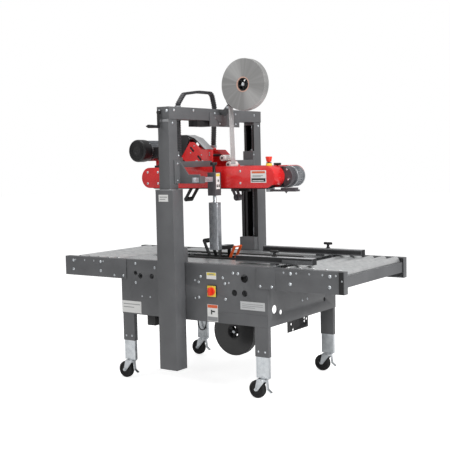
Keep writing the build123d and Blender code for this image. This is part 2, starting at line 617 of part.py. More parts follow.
COVER_C0 = HEAD_X0 + HEAD_R
COVER_C1 = HEAD_X1 - HEAD_R
MOTOR_L = (-540, 1377)
MOTOR_L_R = 70
EAR_Z = MOTOR_L[1] - MOTOR_L_R + 6
EAR_X0 = -492
EAR_X1 = -436
for tag, s in (("front", -1), ("rear", 1)):
    with BuildPart() as cover:
        y0, y1 = span(s, HEAD_IN, HEAD_Y)
        stadium_xz(HEAD_X0, HEAD_X1, HEAD_CZ, HEAD_R, y0, y1)
        y0, y1 = span(s, HEAD_IN + HEAD_T, HEAD_Y - HEAD_T)
        stadium_xz(HEAD_X0 + HEAD_T, HEAD_X1 - HEAD_T, HEAD_CZ, HEAD_R - HEAD_T, y0, y1, Mode.SUBTRACT)
        block(UP_PUL_X0 - 60, UP_PUL_X1 + 60, y0, y1, HEAD_Z0 - 1, HEAD_Z0 + 16, Mode.SUBTRACT)
        # ear that carries the drive motor's foot
        y0, y1 = span(s, HEAD_IN, HEAD_IN + HEAD_T)
        block(EAR_X0, EAR_X1, y0, y1, HEAD_CZ, EAR_Z)
        for x in (UP_PUL_X0, UP_PUL_X1):
            y0, y1 = span(s, HEAD_IN - 1, HEAD_IN + HEAD_T + 1)
            rod_y(x, UP_PUL_Z, PUL_SHAFT_R + RUN_FIT, y0, y1, Mode.SUBTRACT)
        if s < 0:
            rod_z(*E_STOP, E_STOP_R + RUN_FIT, HEAD_Z1 - HEAD_T - 1, HEAD_Z1 + 1, Mode.SUBTRACT)
    save(cover.part, f"head_cover_{tag}")

GEARBOX_C = (440, HEAD_CZ)
MOTOR_R_C = (450, HEAD_CZ)
with BuildPart() as belt_motors:
    # upper left motor with its fan cover, terminal box and foot
    mx, mz = MOTOR_L
    rod_y(mx, mz, MOTOR_L_R, -190, -130)
    fillet(belt_motors.faces().sort_by(Axis.Y)[0].edges(), 8)
    rod_y(mx, mz, MOTOR_L_R - 6, -130, 70)
    block(mx + 40, mx + 95, -100, -10, mz - 45, mz + 20)
    block(mx - 35, EAR_X1, -HEAD_IN - HEAD_T, HEAD_IN + HEAD_T, EAR_Z, mz - 50)
    # gearbox on the drive shaft and the right motor behind it
    gx, gz = GEARBOX_C
    rod_y(gx, gz, 57, -HEAD_IN, -20)
    block(UP_PUL_X1 - 24, gx, -HEAD_IN, -20, HEAD_Z0 + 3, gz + 57)
    rod_y(MOTOR_R_C[0], MOTOR_R_C[1], 60, -20, HEAD_IN)
    rod_y(UP_PUL_X1, UP_PUL_Z, PUL_SHAFT_R + RUN_FIT, -HEAD_IN - 1, -19, Mode.SUBTRACT)
    # tension knob on top of the gearbox
    rod_z(385, -40, 5, gz + 56, gz + 64)
    rod_z(385, -40, 22, gz + 64, gz + 78)
save(belt_motors.part, "belt_motors")

# ================= upper tape head =================
UTH_FRONT = ((-297, 1328), (-229, 1423), (-197, 1422), (-140, 1376), (-58, 1374), (-58, 1309),
             (-58, 1160), (-240, 1160), (-240, 1290))
UTH_REAR = ((-297, 1328), (-229, 1423), (-197, 1422), (-140, 1376), (-44, 1372), (60, 1278),
            (110, 1160), (-240, 1160), (-240, 1290))
GUARD_W = 44
with BuildPart() as upper_tape_head:
    plate_xz(UTH_FRONT, -TH_Y - TH_T, -TH_Y)
    plate_xz(UTH_REAR, TH_Y, TH_Y + TH_T)
    # spacers, arm pivots and the tape's guide rollers
    for x, z in ((-222, 1262), (-80, 1340), (-75, 1180)):
        rod_y(x, z, 8, -TH_Y, TH_Y)
    rod_y(*UP_ARM_PIVOT, PIVOT_R, -TH_Y, TH_Y)
    rod_y(*UP_BUFF_PIVOT, PIVOT_R, -ARM_HALF - 4, TH_Y)
    rod_y(-8, 1322, 18, -30, TH_Y)
    rod_y(35, 1283, 17, -30, TH_Y)
    # cover plates that tie each side plate to the head covers
    for s in MIRROR_SIDES:
        y0, y1 = span(s, TH_Y + TH_T, HEAD_IN)
        block(-220, -70, y0, y1, 1168, 1260)
    # knife box and curved guard over the tilted plates
    plate_xz(((-330, 1285), (-330, 1455), (-300, 1468), (-262, 1468), (-240, 1440), (-300, 1335),
              (-275, 1290)), -GUARD_W, GUARD_W)
    plate_xz(((-262, 1468), (-200, 1446), (-122, 1377), (-126, 1372), (-203, 1440), (-256, 1455)),
             -GUARD_W, GUARD_W)
    for s in MIRROR_SIDES:
        y0, y1 = span(s, GUARD_W, TH_Y)
        block(-262, -235, y0, y1, 1385, 1400)
    # bracket for the cable chain's moving end
    block(CHAIN_X - CHAIN_W / 2, CHAIN_X + CHAIN_W / 2, TH_Y + TH_T, CHAIN_Y1 + CHAIN_T / 2,
          CHAIN_Z1 - 14, CHAIN_Z1)
    # block that the buffing arm hangs under
    block(10, 140, 30, TH_Y, 1120, 1144)
    block(60, 100, 40, TH_Y, 1144, 1165)
save(upper_tape_head.part, "upper_tape_head")

with BuildPart() as upper_apply_arm:
    swing_arm(*UP_ARM_PIVOT, *UP_ARM_TIP, ARM_HALF, 20, 14)
    rod_y(*UP_ARM_PIVOT, PIVOT_R + RUN_FIT, -ARM_HALF, ARM_HALF, Mode.SUBTRACT)
save(upper_apply_arm.part, "upper_apply_arm")

BUFF_HALF = 24
with BuildPart() as upper_buff_arm:
    swing_arm(*UP_BUFF_PIVOT, *UP_BUFF_TIP, BUFF_HALF, 18, 20)
    rod_y(*UP_BUFF_PIVOT, PIVOT_R + RUN_FIT, -ARM_HALF, ARM_HALF, Mode.SUBTRACT)
save(upper_buff_arm.part, "upper_buff_arm")

# ================= upper roll, its bracket and the tape =================
with BuildPart() as upper_tape_roll:
    tape_roll(*UP_ROLL, ROLL_R)
save(upper_tape_roll.part, "upper_tape_roll")

GUIDE_PIN = (36, BEAM_Z1 + 6)
with BuildPart() as upper_roll_bracket:
    ux, uz = UP_ROLL
    fx = COL_X + BEAM_W / 2
    block(fx, fx + 4, -92, 222, BEAM_Z0 - 36, BEAM_Z1 - 20)
    plate_xz(((fx, BEAM_Z0 - 6), (fx, BEAM_Z0 + 46), (ux - 18, uz + 18), (ux + 18, uz + 6),
              (ux + 12, uz - 26)), ROLL_PLATE_Y, ROLL_PLATE_Y + PLATE_ROLL_T)
    rod_y(ux, uz, AXLE_R, ROLL_Y0 - 1, ROLL_PLATE_Y)
    rod_y(*GUIDE_PIN, 7, ROLL_Y0, ROLL_PLATE_Y)
save(upper_roll_bracket.part, "upper_roll_bracket")

WEB_T = 0.6
WEB_X = GUIDE_PIN[0] + 7 + 0.4
WEB_DROP_X = 35 + 17 + 0.4
WEB_FOOT = 1283
with BuildPart() as tape_web:
    a = radians(215)
    rx = UP_ROLL[0] + (ROLL_R + 0.9) * cos(a)
    rz = UP_ROLL[1] + (ROLL_R + 0.9) * sin(a)
    plate_xz(((rx, rz), (WEB_X, GUIDE_PIN[1] + 4), (WEB_DROP_X, WEB_FOOT), (WEB_DROP_X + WEB_T, WEB_FOOT),
              (WEB_X + WEB_T, GUIDE_PIN[1] + 4), (rx + WEB_T, rz)), ROLL_Y0, ROLL_Y0 + TAPE_W)
save(tape_web.part, "tape_web")

# ================= cable chain =================
CHAIN_PATH = ((CHAIN_Y0, CHAIN_Z0 + 0.3), (CHAIN_Y0, BEAM_Z1 + 24), (-195, BEAM_Z1 + 89),
              (-60, BEAM_Z1 + 106), (85, BEAM_Z1 + 106), (112, BEAM_Z1 + 24),
              (CHAIN_Y1, CHAIN_Z1 + 0.9))
with BuildPart() as cable_chain:
    with BuildLine(Plane.YZ.offset(CHAIN_X)) as chain_line:
        FilletPolyline(*CHAIN_PATH, radius=35)
    with BuildSketch(Plane(origin=chain_line.line @ 0, z_dir=chain_line.line % 0, x_dir=(1, 0, 0))):
        Rectangle(CHAIN_W, CHAIN_T)
    sweep()
save(cable_chain.part, "cable_chain")

# ================= side compression arm =================
COMP_X = 70
COMP_Z = 1201
with BuildPart() as compression_arm:
    # foot on the front column's exit-side face, gusset plate, and the square sleeve along Y
    block(UP_X1, UP_X1 + 6, -UP_Y - 40, -UP_Y + 16, 1181, 1314)
    block(UP_X1, COMP_X + 20, -UP_Y + 8, -UP_Y + 16, 1181, 1232)
    plate_xz(((UP_X1, 1232), (COMP_X - 60, 1232), (UP_X1, 1314)), -UP_Y + 8, -UP_Y + 16)
    block(COMP_X - 20, COMP_X + 20, -UP_Y + 16, -UP_Y + 60, COMP_Z - 20, COMP_Z + 20)
    block(COMP_X - 14, COMP_X + 14, -UP_Y, -UP_Y + 61, COMP_Z - 14, COMP_Z + 14, Mode.SUBTRACT)
save(compression_arm.part, "compression_arm")

CLAMP_Y0 = -256
CLAMP_Y1 = -196
COMP_Y = (CLAMP_Y0 + CLAMP_Y1) / 2
with BuildPart() as compression_clamp:
    block(COMP_X - 13.7, COMP_X + 13.7, -UP_Y - 20, CLAMP_Y0, COMP_Z - 13.7, COMP_Z + 13.7)
    block(COMP_X - 26, COMP_X + 26, CLAMP_Y0, CLAMP_Y1, 1106, 1240)
    rod_z(COMP_X, COMP_Y, 8 + RUN_FIT, 1105, 1195, Mode.SUBTRACT)
    # star knob that locks the shoe's rod
    rod_z(COMP_X, COMP_Y, 9, 1240, 1280)
    with BuildSketch(Plane.XY.offset(1280)):
        with Locations((COMP_X, COMP_Y)):
            Circle(16)
            with PolarLocations(14, 5):
                Circle(7)
    extrude(amount=18)
save(compression_clamp.part, "compression_clamp")

with BuildPart() as compression_shoe:
    rod_z(COMP_X, COMP_Y, 8, 1065, 1150)
    block(COMP_X - 31, COMP_X + 31, COMP_Y - 20, COMP_Y + 20, 792, 1066)
    fillet(compression_shoe.edges().filter_by(Axis.Z).group_by(SortBy.LENGTH)[-1], 4)
    block(COMP_X - 28, COMP_X + 28, COMP_Y - 17, COMP_Y + 17, 791, 1062, Mode.SUBTRACT)
save(compression_shoe.part, "compression_shoe")

# ================= side guides =================
GUIDE_FRONT_X0 = 245
GUIDE_REAR_X0 = 100
GUIDE_FRONT_KNOB_X = 490
GUIDE_REAR_KNOB_X = 545
for tag, s, gx0, gx1, knob in (("front", -1, GUIDE_FRONT_X0, GUIDE_X1, GUIDE_FRONT_KNOB_X),
                               ("rear", 1, GUIDE_REAR_X0, GUIDE_REAR_X1, GUIDE_REAR_KNOB_X)):
    with BuildPart() as guide:
        cy = s * GUIDE_Y
        block(gx0, gx1, cy - GUIDE_W / 2, cy + GUIDE_W / 2, GUIDE_Z, GUIDE_Z + GUIDE_H)
        block(gx0 + 6, gx1 - 6, cy - GUIDE_W / 2 + 3, cy + GUIDE_W / 2 - 3, GUIDE_Z - 1,
              GUIDE_Z + GUIDE_H - 3, Mode.SUBTRACT)
        # foot on the bed plate, stem in its slot, washer below
        block(GUIDE_FOOT_X - 18, GUIDE_FOOT_X + 18, cy - GUIDE_W / 2 + 3, cy + GUIDE_W / 2 - 3, BED_Z,
              GUIDE_Z + GUIDE_H - 3)
        rod_z(GUIDE_FOOT_X, cy, 5.5, BED_Z - 9, BED_Z)
        rod_z(GUIDE_FOOT_X, cy, 14, BED_Z - 12, BED_Z - PLATE_T - 0.3)
        # T-knob on top
        rod_z(knob, cy, 7, GUIDE_Z + GUIDE_H, GUIDE_Z + GUIDE_H + 24)
        rod_x(cy, GUIDE_Z + GUIDE_H + 30, 7, knob - 26, knob + 26)
    save(guide.part, f"side_guide_{tag}")

# ================= controls =================
with BuildPart() as e_stop_button:
    rod_z(*E_STOP, E_STOP_R, HEAD_Z1 - 8, HEAD_Z1 + 30)
    with BuildSketch(Plane.XY.offset(HEAD_Z1 + 24)):
        with Locations(E_STOP):
            Circle(14)
    with BuildSketch(Plane.XY.offset(HEAD_Z1 + 52)):
        with Locations(E_STOP):
            Circle(19)
    loft()
save(e_stop_button.part, "e_stop_button")

with BuildPart() as main_switch_knob:
    rod_y(*SWITCH, SWITCH_R, -CAB_Y - 8, -CAB_Y + 12)
    rod_y(*SWITCH, 24, -CAB_Y - 16, -CAB_Y - 6)
    block(SWITCH[0] - 8, SWITCH[0] + 8, -CAB_Y - 34, -CAB_Y - 15, SWITCH[1] - 23, SWITCH[1] + 23)
save(main_switch_knob.part, "main_switch_knob")

# ================= supply cable =================
# One loop that hangs out of the cabinet beside the infeed rear leg.
CABLE_R = 4
CABLE_PATH = ((-515.5, 345, 520), (-514, 344, 430), (-508, 343, 340), (-500, 340, 264), (-494, 339, 209),
              (-480, 338, 176), (-444, 338, 176), (-430, 339, 209), (-425, 341, 264), (-423, 343, 345),
              (-426, 344, 430), (-430, 345, 520), (-430, 345.5, BAR_Z - 20 - 0.3))
CABLE_POINTS = [Vector(*p) for p in CABLE_PATH]
cable_turns = []
for before, corner, after in zip(CABLE_POINTS, CABLE_POINTS[1:], CABLE_POINTS[2:]):
    shorter = min((corner - before).length, (after - corner).length)
    half_turn = radians((corner - before).get_angle(after - corner) / 2)
    cable_turns.append(0.45 * shorter / tan(half_turn))
print("cable radii", [round(r) for r in cable_turns])
with BuildPart() as supply_cable:
    with BuildLine() as cable_line:
        FilletPolyline(*CABLE_PATH, radius=cable_turns)
    with BuildSketch(Plane(origin=cable_line.line @ 0, z_dir=cable_line.line % 0)):
        Circle(CABLE_R)
    sweep()
print("cable length", round(sum(edge.length for edge in cable_line.edges()), 1), "volume over section",
      round(supply_cable.part.volume / (pi * CABLE_R**2), 1))
save(supply_cable.part, "supply_cable")
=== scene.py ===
import json
from math import atan2, cos, pi, radians, sin, tan

import bmesh
import bpy
from mathutils import Matrix, Vector

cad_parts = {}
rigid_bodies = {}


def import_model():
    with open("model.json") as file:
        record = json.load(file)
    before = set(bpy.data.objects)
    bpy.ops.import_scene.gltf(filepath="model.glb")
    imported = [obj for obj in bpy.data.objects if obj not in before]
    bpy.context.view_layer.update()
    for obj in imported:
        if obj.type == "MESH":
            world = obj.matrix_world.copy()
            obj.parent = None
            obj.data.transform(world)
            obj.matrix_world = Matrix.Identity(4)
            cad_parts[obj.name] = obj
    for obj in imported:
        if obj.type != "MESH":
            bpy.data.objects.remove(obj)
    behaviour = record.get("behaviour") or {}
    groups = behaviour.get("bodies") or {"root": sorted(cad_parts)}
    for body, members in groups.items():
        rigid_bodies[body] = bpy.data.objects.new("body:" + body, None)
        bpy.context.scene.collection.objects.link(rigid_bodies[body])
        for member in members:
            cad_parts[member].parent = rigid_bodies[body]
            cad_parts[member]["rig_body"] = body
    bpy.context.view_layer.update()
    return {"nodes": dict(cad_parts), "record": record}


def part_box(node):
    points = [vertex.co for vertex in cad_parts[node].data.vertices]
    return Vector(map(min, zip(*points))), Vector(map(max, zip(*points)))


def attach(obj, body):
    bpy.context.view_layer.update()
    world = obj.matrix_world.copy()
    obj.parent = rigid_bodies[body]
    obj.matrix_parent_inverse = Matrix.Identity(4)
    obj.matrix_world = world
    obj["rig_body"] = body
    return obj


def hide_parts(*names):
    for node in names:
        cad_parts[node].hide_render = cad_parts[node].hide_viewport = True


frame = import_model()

scene = bpy.context.scene

# ---------------------------------------------------------------------------
# Studio: a pale floor, a white surround and three large soft lights. The main one stands on the
# exit side and high up, so sides that face the exit end are brighter than the front.
# ---------------------------------------------------------------------------
CAMERA_PLACE = Vector((3.079, -4.370, 1.311))
CAMERA_TURN = radians(35.02)
CAMERA_DIP = radians(4.18)
CAMERA_ROLL = radians(-1.26)
CAMERA_LENS = 71.42

ahead = Vector((-sin(CAMERA_TURN) * cos(CAMERA_DIP), cos(CAMERA_TURN) * cos(CAMERA_DIP), -sin(CAMERA_DIP)))
level = Vector((cos(CAMERA_TURN), sin(CAMERA_TURN), 0))
upward = level.cross(ahead)
side = level * cos(CAMERA_ROLL) + upward * sin(CAMERA_ROLL)
top = upward * cos(CAMERA_ROLL) - level * sin(CAMERA_ROLL)
camera = bpy.data.objects.new("camera", bpy.data.cameras.new("camera"))
camera.data.lens = CAMERA_LENS
camera.data.sensor_width = 36
camera.data.clip_end = 60
camera.matrix_world = Matrix.Translation(CAMERA_PLACE) @ Matrix((side, top, -ahead)).transposed().to_4x4()
scene.collection.objects.link(camera)
scene.camera = camera
scene.view_settings.view_transform = "Standard"


def linear(hex_code):
    """An sRGB hex colour as the linear values that shaders take."""
    parts = [int(hex_code[i:i + 2], 16) / 255 for i in (1, 3, 5)]
    return [p / 12.92 if p <= 0.04045 else ((p + 0.055) / 1.055) ** 2.4 for p in parts] + [1]


def add_node(tree, kind, links=(), values=(), **settings):
    """Adds one shader node with its settings, input values and links from (node, output) pairs."""
    made = tree.nodes.new(kind)
    for key, value in settings.items():
        setattr(made, key, value)
    for socket, value in dict(values).items():
        made.inputs[socket].default_value = value
    for socket, (source, output) in dict(links).items():
        tree.links.new(source.outputs[output], made.inputs[socket])
    return made


# The surround is pure white to look at but lights the machine less than that, so greys stay deep.
scene.world = bpy.data.worlds.new("white surround")
scene.world.use_nodes = True
surround = scene.world.node_tree
lighting = surround.nodes["Background"]
lighting.inputs["Color"].default_value = linear("#FFFFFF")
lighting.inputs["Strength"].default_value = 0.40
seen = add_node(surround, "ShaderNodeLightPath")
backdrop = add_node(surround, "ShaderNodeBackground", (), {"Color": linear("#FFFFFF"), "Strength": 1.0})
either = add_node(surround, "ShaderNodeMixShader",
                  {"Fac": (seen, "Is Camera Ray"), 1: (lighting, "Background"),
                   2: (backdrop, "Background")})
surround.links.new(either.outputs["Shader"], surround.nodes["World Output"].inputs["Surface"])

for name, place, aim, size, power in (
    ("exit side softbox", (4.2, -0.9, 3.6), (0, 0, 0.9), (2.6, 2.6), 190),
    ("overhead softbox", (-0.6, -0.4, 4.6), (0, 0, 0.7), (3.2, 2.4), 95),
    ("front fill", (-2.6, -4.6, 2.2), (0, 0, 0.9), (2.0, 2.6), 15),
):
    softbox = bpy.data.objects.new(name, bpy.data.lights.new(name, "AREA"))
    softbox.data.shape = "RECTANGLE"
    softbox.data.size, softbox.data.size_y = size
    softbox.data.energy = power
    softbox.location = place
    softbox.rotation_mode = "QUATERNION"
    softbox.rotation_quaternion = (Vector(aim) - Vector(place)).to_track_quat("-Z", "Y")
    scene.collection.objects.link(softbox)

floor_shape = bmesh.new()
bmesh.ops.create_grid(floor_shape, x_segments=1, y_segments=1, size=25)
floor_mesh = bpy.data.meshes.new("floor")
floor_shape.to_mesh(floor_mesh)
floor_shape.free()
floor = bpy.data.objects.new("floor", floor_mesh)
floor.location.z = -0.0005
scene.collection.objects.link(floor)
floor_paint = bpy.data.materials.new("matt white studio floor")
floor_paint.use_nodes = True
floor_shader = floor_paint.node_tree.nodes["Principled BSDF"]
floor_shader.inputs["Base Color"].default_value = linear("#F1F1F1")
floor_shader.inputs["Roughness"].default_value = 0.55
# A floor that glows only to the eye, so that no edge shows where it meets the surround.
FLOOR_GLOW = 0.72
floor_shader.inputs["Emission Color"].default_value = linear("#FFFFFF")
floor_seen = add_node(floor_paint.node_tree, "ShaderNodeLightPath")
floor_glow = add_node(floor_paint.node_tree, "ShaderNodeMath", {0: (floor_seen, "Is Camera Ray")},
                      {1: FLOOR_GLOW}, operation="MULTIPLY")
floor_paint.node_tree.links.new(floor_glow.outputs["Value"], floor_shader.inputs["Emission Strength"])
floor_mesh.materials.append(floor_paint)

# ---------------------------------------------------------------------------
# Cabinet: folded 3 mm steel sheet, welded to its four leg sleeves and cross bars, powder coated
# dark grey. The folds are rounded, and button-head screws hold what is bolted behind the panels.
# ---------------------------------------------------------------------------


def new_finish(name, colour, metallic, roughness, **others):
    """A material with its main shader's plain values; patterns are added to its node tree after."""
    finish = bpy.data.materials.new(name)
    finish.use_nodes = True
    shader = finish.node_tree.nodes["Principled BSDF"]
    shader.inputs["Base Color"].default_value = linear(colour)
    shader.inputs["Metallic"].default_value = metallic
    shader.inputs["Roughness"].default_value = roughness
    for socket, value in others.items():
        shader.inputs[socket.replace("_", " ").title().replace("Ior", "IOR")].default_value = value
    return finish


def clouds(finish, light, dark, size_mm, spread=0.5):
    """Uneven tone in a finish: two close colours in soft patches of about size_mm."""
    tree = finish.node_tree
    place = add_node(tree, "ShaderNodeTexCoord")
    noise = add_node(tree, "ShaderNodeTexNoise", {"Vector": (place, "Object")},
                     {"Scale": 1000 / size_mm, "Detail": 3.0, "Roughness": spread})
    ramp = add_node(tree, "ShaderNodeValToRGB", {"Fac": (noise, "Fac")})
    ramp.color_ramp.elements[0].position = 0.3
    ramp.color_ramp.elements[1].position = 0.7
    ramp.color_ramp.elements[0].color = linear(dark)
    ramp.color_ramp.elements[1].color = linear(light)
    tree.links.new(ramp.outputs["Color"], tree.nodes["Principled BSDF"].inputs["Base Color"])


def grain(finish, size_mm, height_mm, stretch=(1, 1, 1), rough=None):
    """Fine relief in a finish, as a bump; stretch draws it out into brushed lines along an axis."""
    tree = finish.node_tree
    shader = tree.nodes["Principled BSDF"]
    place = add_node(tree, "ShaderNodeTexCoord")
    spread = add_node(tree, "ShaderNodeMapping", {"Vector": (place, "Object")}, {"Scale": stretch})
    noise = add_node(tree, "ShaderNodeTexNoise", {"Vector": (spread, "Vector")},
                     {"Scale": 1000 / size_mm, "Detail": 2.0})
    bump = add_node(tree, "ShaderNodeBump", {"Height": (noise, "Fac")},
                    {"Strength": 0.5, "Distance": height_mm / 1000})
    tree.links.new(bump.outputs["Normal"], shader.inputs["Normal"])
    if rough:
        band = add_node(tree, "ShaderNodeMapRange", {"Value": (noise, "Fac")},
                        {"From Min": 0.3, "From Max": 0.7, "To Min": rough[0], "To Max": rough[1]})
        tree.links.new(band.outputs["Result"], shader.inputs["Roughness"])


# Powder coat: satin, slightly uneven in tone, with the fine orange peel that baked powder leaves.
grey_coat = new_finish("powder-coated steel, dark grey", "#5F6063", 0.0, 0.38)
clouds(grey_coat, "#626365", "#58595B", 140)
grain(grey_coat, 4, 0.10, rough=(0.34, 0.44))

# Zinc plate: bright and slightly blue, with soft rolled streaks.
zinc = new_finish("zinc-plated steel", "#D3D7DA", 1.0, 0.3)
clouds(zinc, "#DCE0E3", "#C3C8CC", 30)
grain(zinc, 3, 0.05, rough=(0.24, 0.38))


def softened(node, fold, name, finish, sharp=radians(28), sides=2, spared=None):
    """A copy of a CAD node with its facets joined and its edges rounded, as folded sheet has."""
    shape = bmesh.new()
    shape.from_mesh(frame["nodes"][node].data)
    bmesh.ops.remove_doubles(shape, verts=shape.verts, dist=2e-5)
    bmesh.ops.dissolve_limit(shape, angle_limit=radians(0.6), verts=shape.verts, edges=shape.edges)
    edges = [e for e in shape.edges if e.is_manifold and e.calc_face_angle(0) > sharp
             and not (spared and spared(e))]
    bmesh.ops.bevel(shape, geom=edges, offset=fold, offset_type="OFFSET", segments=sides, profile=0.5,
                    affect="EDGES", clamp_overlap=True, material=-1)
    return place_piece(shape, name, finish, node)


def place_piece(shape, name, finish, *nodes, body=None, slot=None, smooth=32):
    """Makes a piece of a bmesh: shades it, gives it its finish and puts it on its CAD body."""
    mesh = bpy.data.meshes.new(name)
    shape.to_mesh(mesh)
    shape.free()
    for face in mesh.polygons:
        face.use_smooth = True
    mesh.set_sharp_from_angle(angle=radians(smooth))
    piece = bpy.data.objects.new(name, mesh)
    scene.collection.objects.link(piece)
    mesh.materials.append(finish)
    if nodes:
        body = frame["nodes"][nodes[0]]["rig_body"]
        rows = frame["record"]["subparts"]
        slot = slot or next(row["material_slot"] for row in rows if row["node"] == nodes[0])
        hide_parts(*nodes)
    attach(piece, body)
    return piece


def block(shape, low, high, fold=0.001, sides=2, turn=Matrix()):
    """Adds a rectangular bar between two corners, with rounded edges, then turns it."""
    low, high = Vector(low), Vector(high)
    made = bmesh.ops.create_cube(shape, size=1, matrix=turn @ Matrix.Translation((low + high) / 2)
                                 @ Matrix.Diagonal((*(high - low), 1)))
    if fold:
        edges = list({e for v in made["verts"] for e in v.link_edges})
        bmesh.ops.bevel(shape, geom=edges, offset=fold, offset_type="OFFSET", segments=sides, profile=0.5,
                        affect="EDGES", clamp_overlap=True, material=-1)


def turned(shape, start, along, profile, sides=32):
    """Adds a turned part: (distance along, radius) points, spun about the axis through start."""
    start, along = Vector(start), Vector(along).normalized()
    out = along.orthogonal().normalized()
    verts = [shape.verts.new(start + along * d + out * max(r, 0)) for d, r in profile]
    edges = [shape.edges.new(pair) for pair in zip(verts, verts[1:])]
    made = bmesh.ops.spin(shape, geom=verts + edges, cent=start, axis=along, angle=2 * pi, steps=sides,
                          use_merge=True)
    shape.verts.index_update()
    return made


def tidy(shape, merge=1e-6):
    """Closes seams and poles and turns all faces outwards."""
    bmesh.ops.remove_doubles(shape, verts=shape.verts, dist=merge)
    bmesh.ops.dissolve_degenerate(shape, dist=1e-7, edges=shape.edges)
    bmesh.ops.recalc_face_normals(shape, faces=shape.faces)


def screws(name, places, out, radius, body, finish, socket=True, sides=14):
    """Button-head screws on their washers at places, heads pointing along out. radius is the washer's."""
    shape = bmesh.new()
    head_share = 0.82
    r = radius * head_share
    for place in places:
        profile = [(-0.001, 0), (-0.001, r * 1.22), (0.001, r * 1.22), (0.0011, r), (r * 0.35, r * 0.92),
                   (r * 0.62, r * 0.62), (r * 0.68, r * 0.46)]
        profile += [(r * 0.3, r * 0.44), (r * 0.3, 0)] if socket else [(r * 0.72, 0)]
        turned(shape, place, out, profile, sides)
    tidy(shape)
    return place_piece(shape, name, finish, body=body, slot="zinc_steel")


softened("base_cabinet", 0.0012, "cabinet", grey_coat)
panel_low, panel_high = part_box("base_cabinet")
FRONT = panel_low.y
PANEL_SCREWS_MM = ((-409, 705), (-261, 687), (-410, 590), (-362, 511), (-300, 510), (74, 654), (33, 630),
                   (60, 622), (228, 655), (242, 623), (268, 629), (60, 535), (33, 528), (243, 536),
                   (298, 685), (331, 684))
for small, radius in ((False, 0.0085), (True, 0.0055)):
    chosen = [p for p in PANEL_SCREWS_MM if (p[0] in (33, 268, -362, -300)) == small]
    screws("panel_screws_" + ("small" if small else "large"),
           [(x / 1000, FRONT, z / 1000) for x, z in chosen], (0, -1, 0), radius, "machine", zinc)
screws("rear_panel_screws",
       [(x / 1000, panel_high.y, z / 1000) for x, z in PANEL_SCREWS_MM[:5] + PANEL_SCREWS_MM[-2:]],
       (0, 1, 0), 0.0085, "machine", zinc)
screws("end_panel_screws", [(panel_high.x, y, z) for y, z in ((0.0335, 0.499), (0.0915, 0.500))], (1, 0, 0),
       0.0075, "machine", zinc)

# Stickers and signs on the cabinet: printed film and an engraved aluminium nameplate, all plain.
paper = new_finish("printed vinyl film, white", "#E4E4E2", 0.0, 0.4)
sign_yellow = new_finish("printed vinyl film, yellow", "#E3CF5A", 0.0, 0.4)
sign_orange = new_finish("printed vinyl film, orange", "#E0663C", 0.0, 0.4)
sign_grey = new_finish("printed vinyl film, grey", "#8F9092", 0.0, 0.4)
sign_black = new_finish("printed vinyl film, black", "#202022", 0.0, 0.4)
plate_metal = new_finish("engraved aluminium plate", "#C9CACB", 0.55, 0.4)


def sign(name, low, high, out, body, parts, thick=0.0006):
    """A flat sign on a vertical face: parts are (finish, from, to, bottom, top) as shares of its size,
    each a little prouder than the one before. out is -1 or 1 along Y, or "x" for a face to +X."""
    for number, (finish, a, b, c, d) in enumerate(parts):
        shape = bmesh.new()
        proud = thick * (1 + 0.35 * number)
        z0 = low[1] + (high[1] - low[1]) * c
        z1 = low[1] + (high[1] - low[1]) * d
        u0 = low[0] + (high[0] - low[0]) * a
        u1 = low[0] + (high[0] - low[0]) * b
        if out == "x":
            block(shape, (low[2], u0, z0), (low[2] + proud, u1, z1), 0.00015, 1)
        else:
            y0, y1 = sorted((low[2], low[2] + out * proud))
            block(shape, (u0, y0, z0), (u1, y1, z1), 0.00015, 1)
        place_piece(shape, f"{name}_{number + 1}", finish, body=body, slot="tape_film")


sign("caution_sign", (0.116, 0.643, FRONT), (0.183, 0.681), -1, "machine",
     ((paper, 0, 1, 0, 1), (sign_yellow, 0.04, 0.96, 0.55, 0.94), (sign_grey, 0.25, 0.75, 0.66, 0.78)))
sign("hand_sign", (0.117, 0.402, FRONT), (0.190, 0.499), -1, "machine",
     ((paper, 0, 1, 0, 1), (sign_orange, 0.03, 0.97, 0.80, 0.98), (sign_grey, 0.03, 0.97, 0.04, 0.28),
      (sign_black, 0.34, 0.46, 0.42, 0.68), (sign_black, 0.44, 0.72, 0.56, 0.64)))
sign("nameplate", (0.343, 0.487, FRONT), (0.503, 0.533), -1, "machine",
     ((plate_metal, 0, 1, 0, 1), (sign_grey, 0.08, 0.92, 0.66, 0.72), (sign_grey, 0.08, 0.92, 0.44, 0.50),
      (sign_grey, 0.08, 0.60, 0.24, 0.30)))
sign("maker_sticker", (-0.520, 0.405, FRONT), (-0.372, 0.476), -1, "machine",
     ((paper, 0, 1, 0, 1), (sign_grey, 0.06, 0.94, 0.70, 0.76), (sign_grey, 0.06, 0.62, 0.44, 0.50)))

# Raised fold across the lower front panel, where the skirt sheet laps over the upper one.
skirt = bmesh.new()
block(skirt, (0.191, FRONT - 0.0016, 0.4005), (0.5195, FRONT, 0.462), 0.0007)
place_piece(skirt, "front_skirt", grey_coat, body="machine", slot="grey_paint")

# ---------------------------------------------------------------------------
# Bed plates: 3 mm stainless sheet with a linished top, laid on the cabinet's flanges.
# ---------------------------------------------------------------------------
# Linished stainless: long scratches along the bed make the shine soft and streaky.
stainless = new_finish("stainless steel, linished", "#E8EAEB", 1.0, 0.3)
clouds(stainless, "#EEF0F1", "#DDDFE0", 60)
grain(stainless, 2, 0.04, stretch=(0.04, 1, 1), rough=(0.26, 0.42))
softened("bed_plates", 0.0007, "bed_sheet", stainless, sides=1)

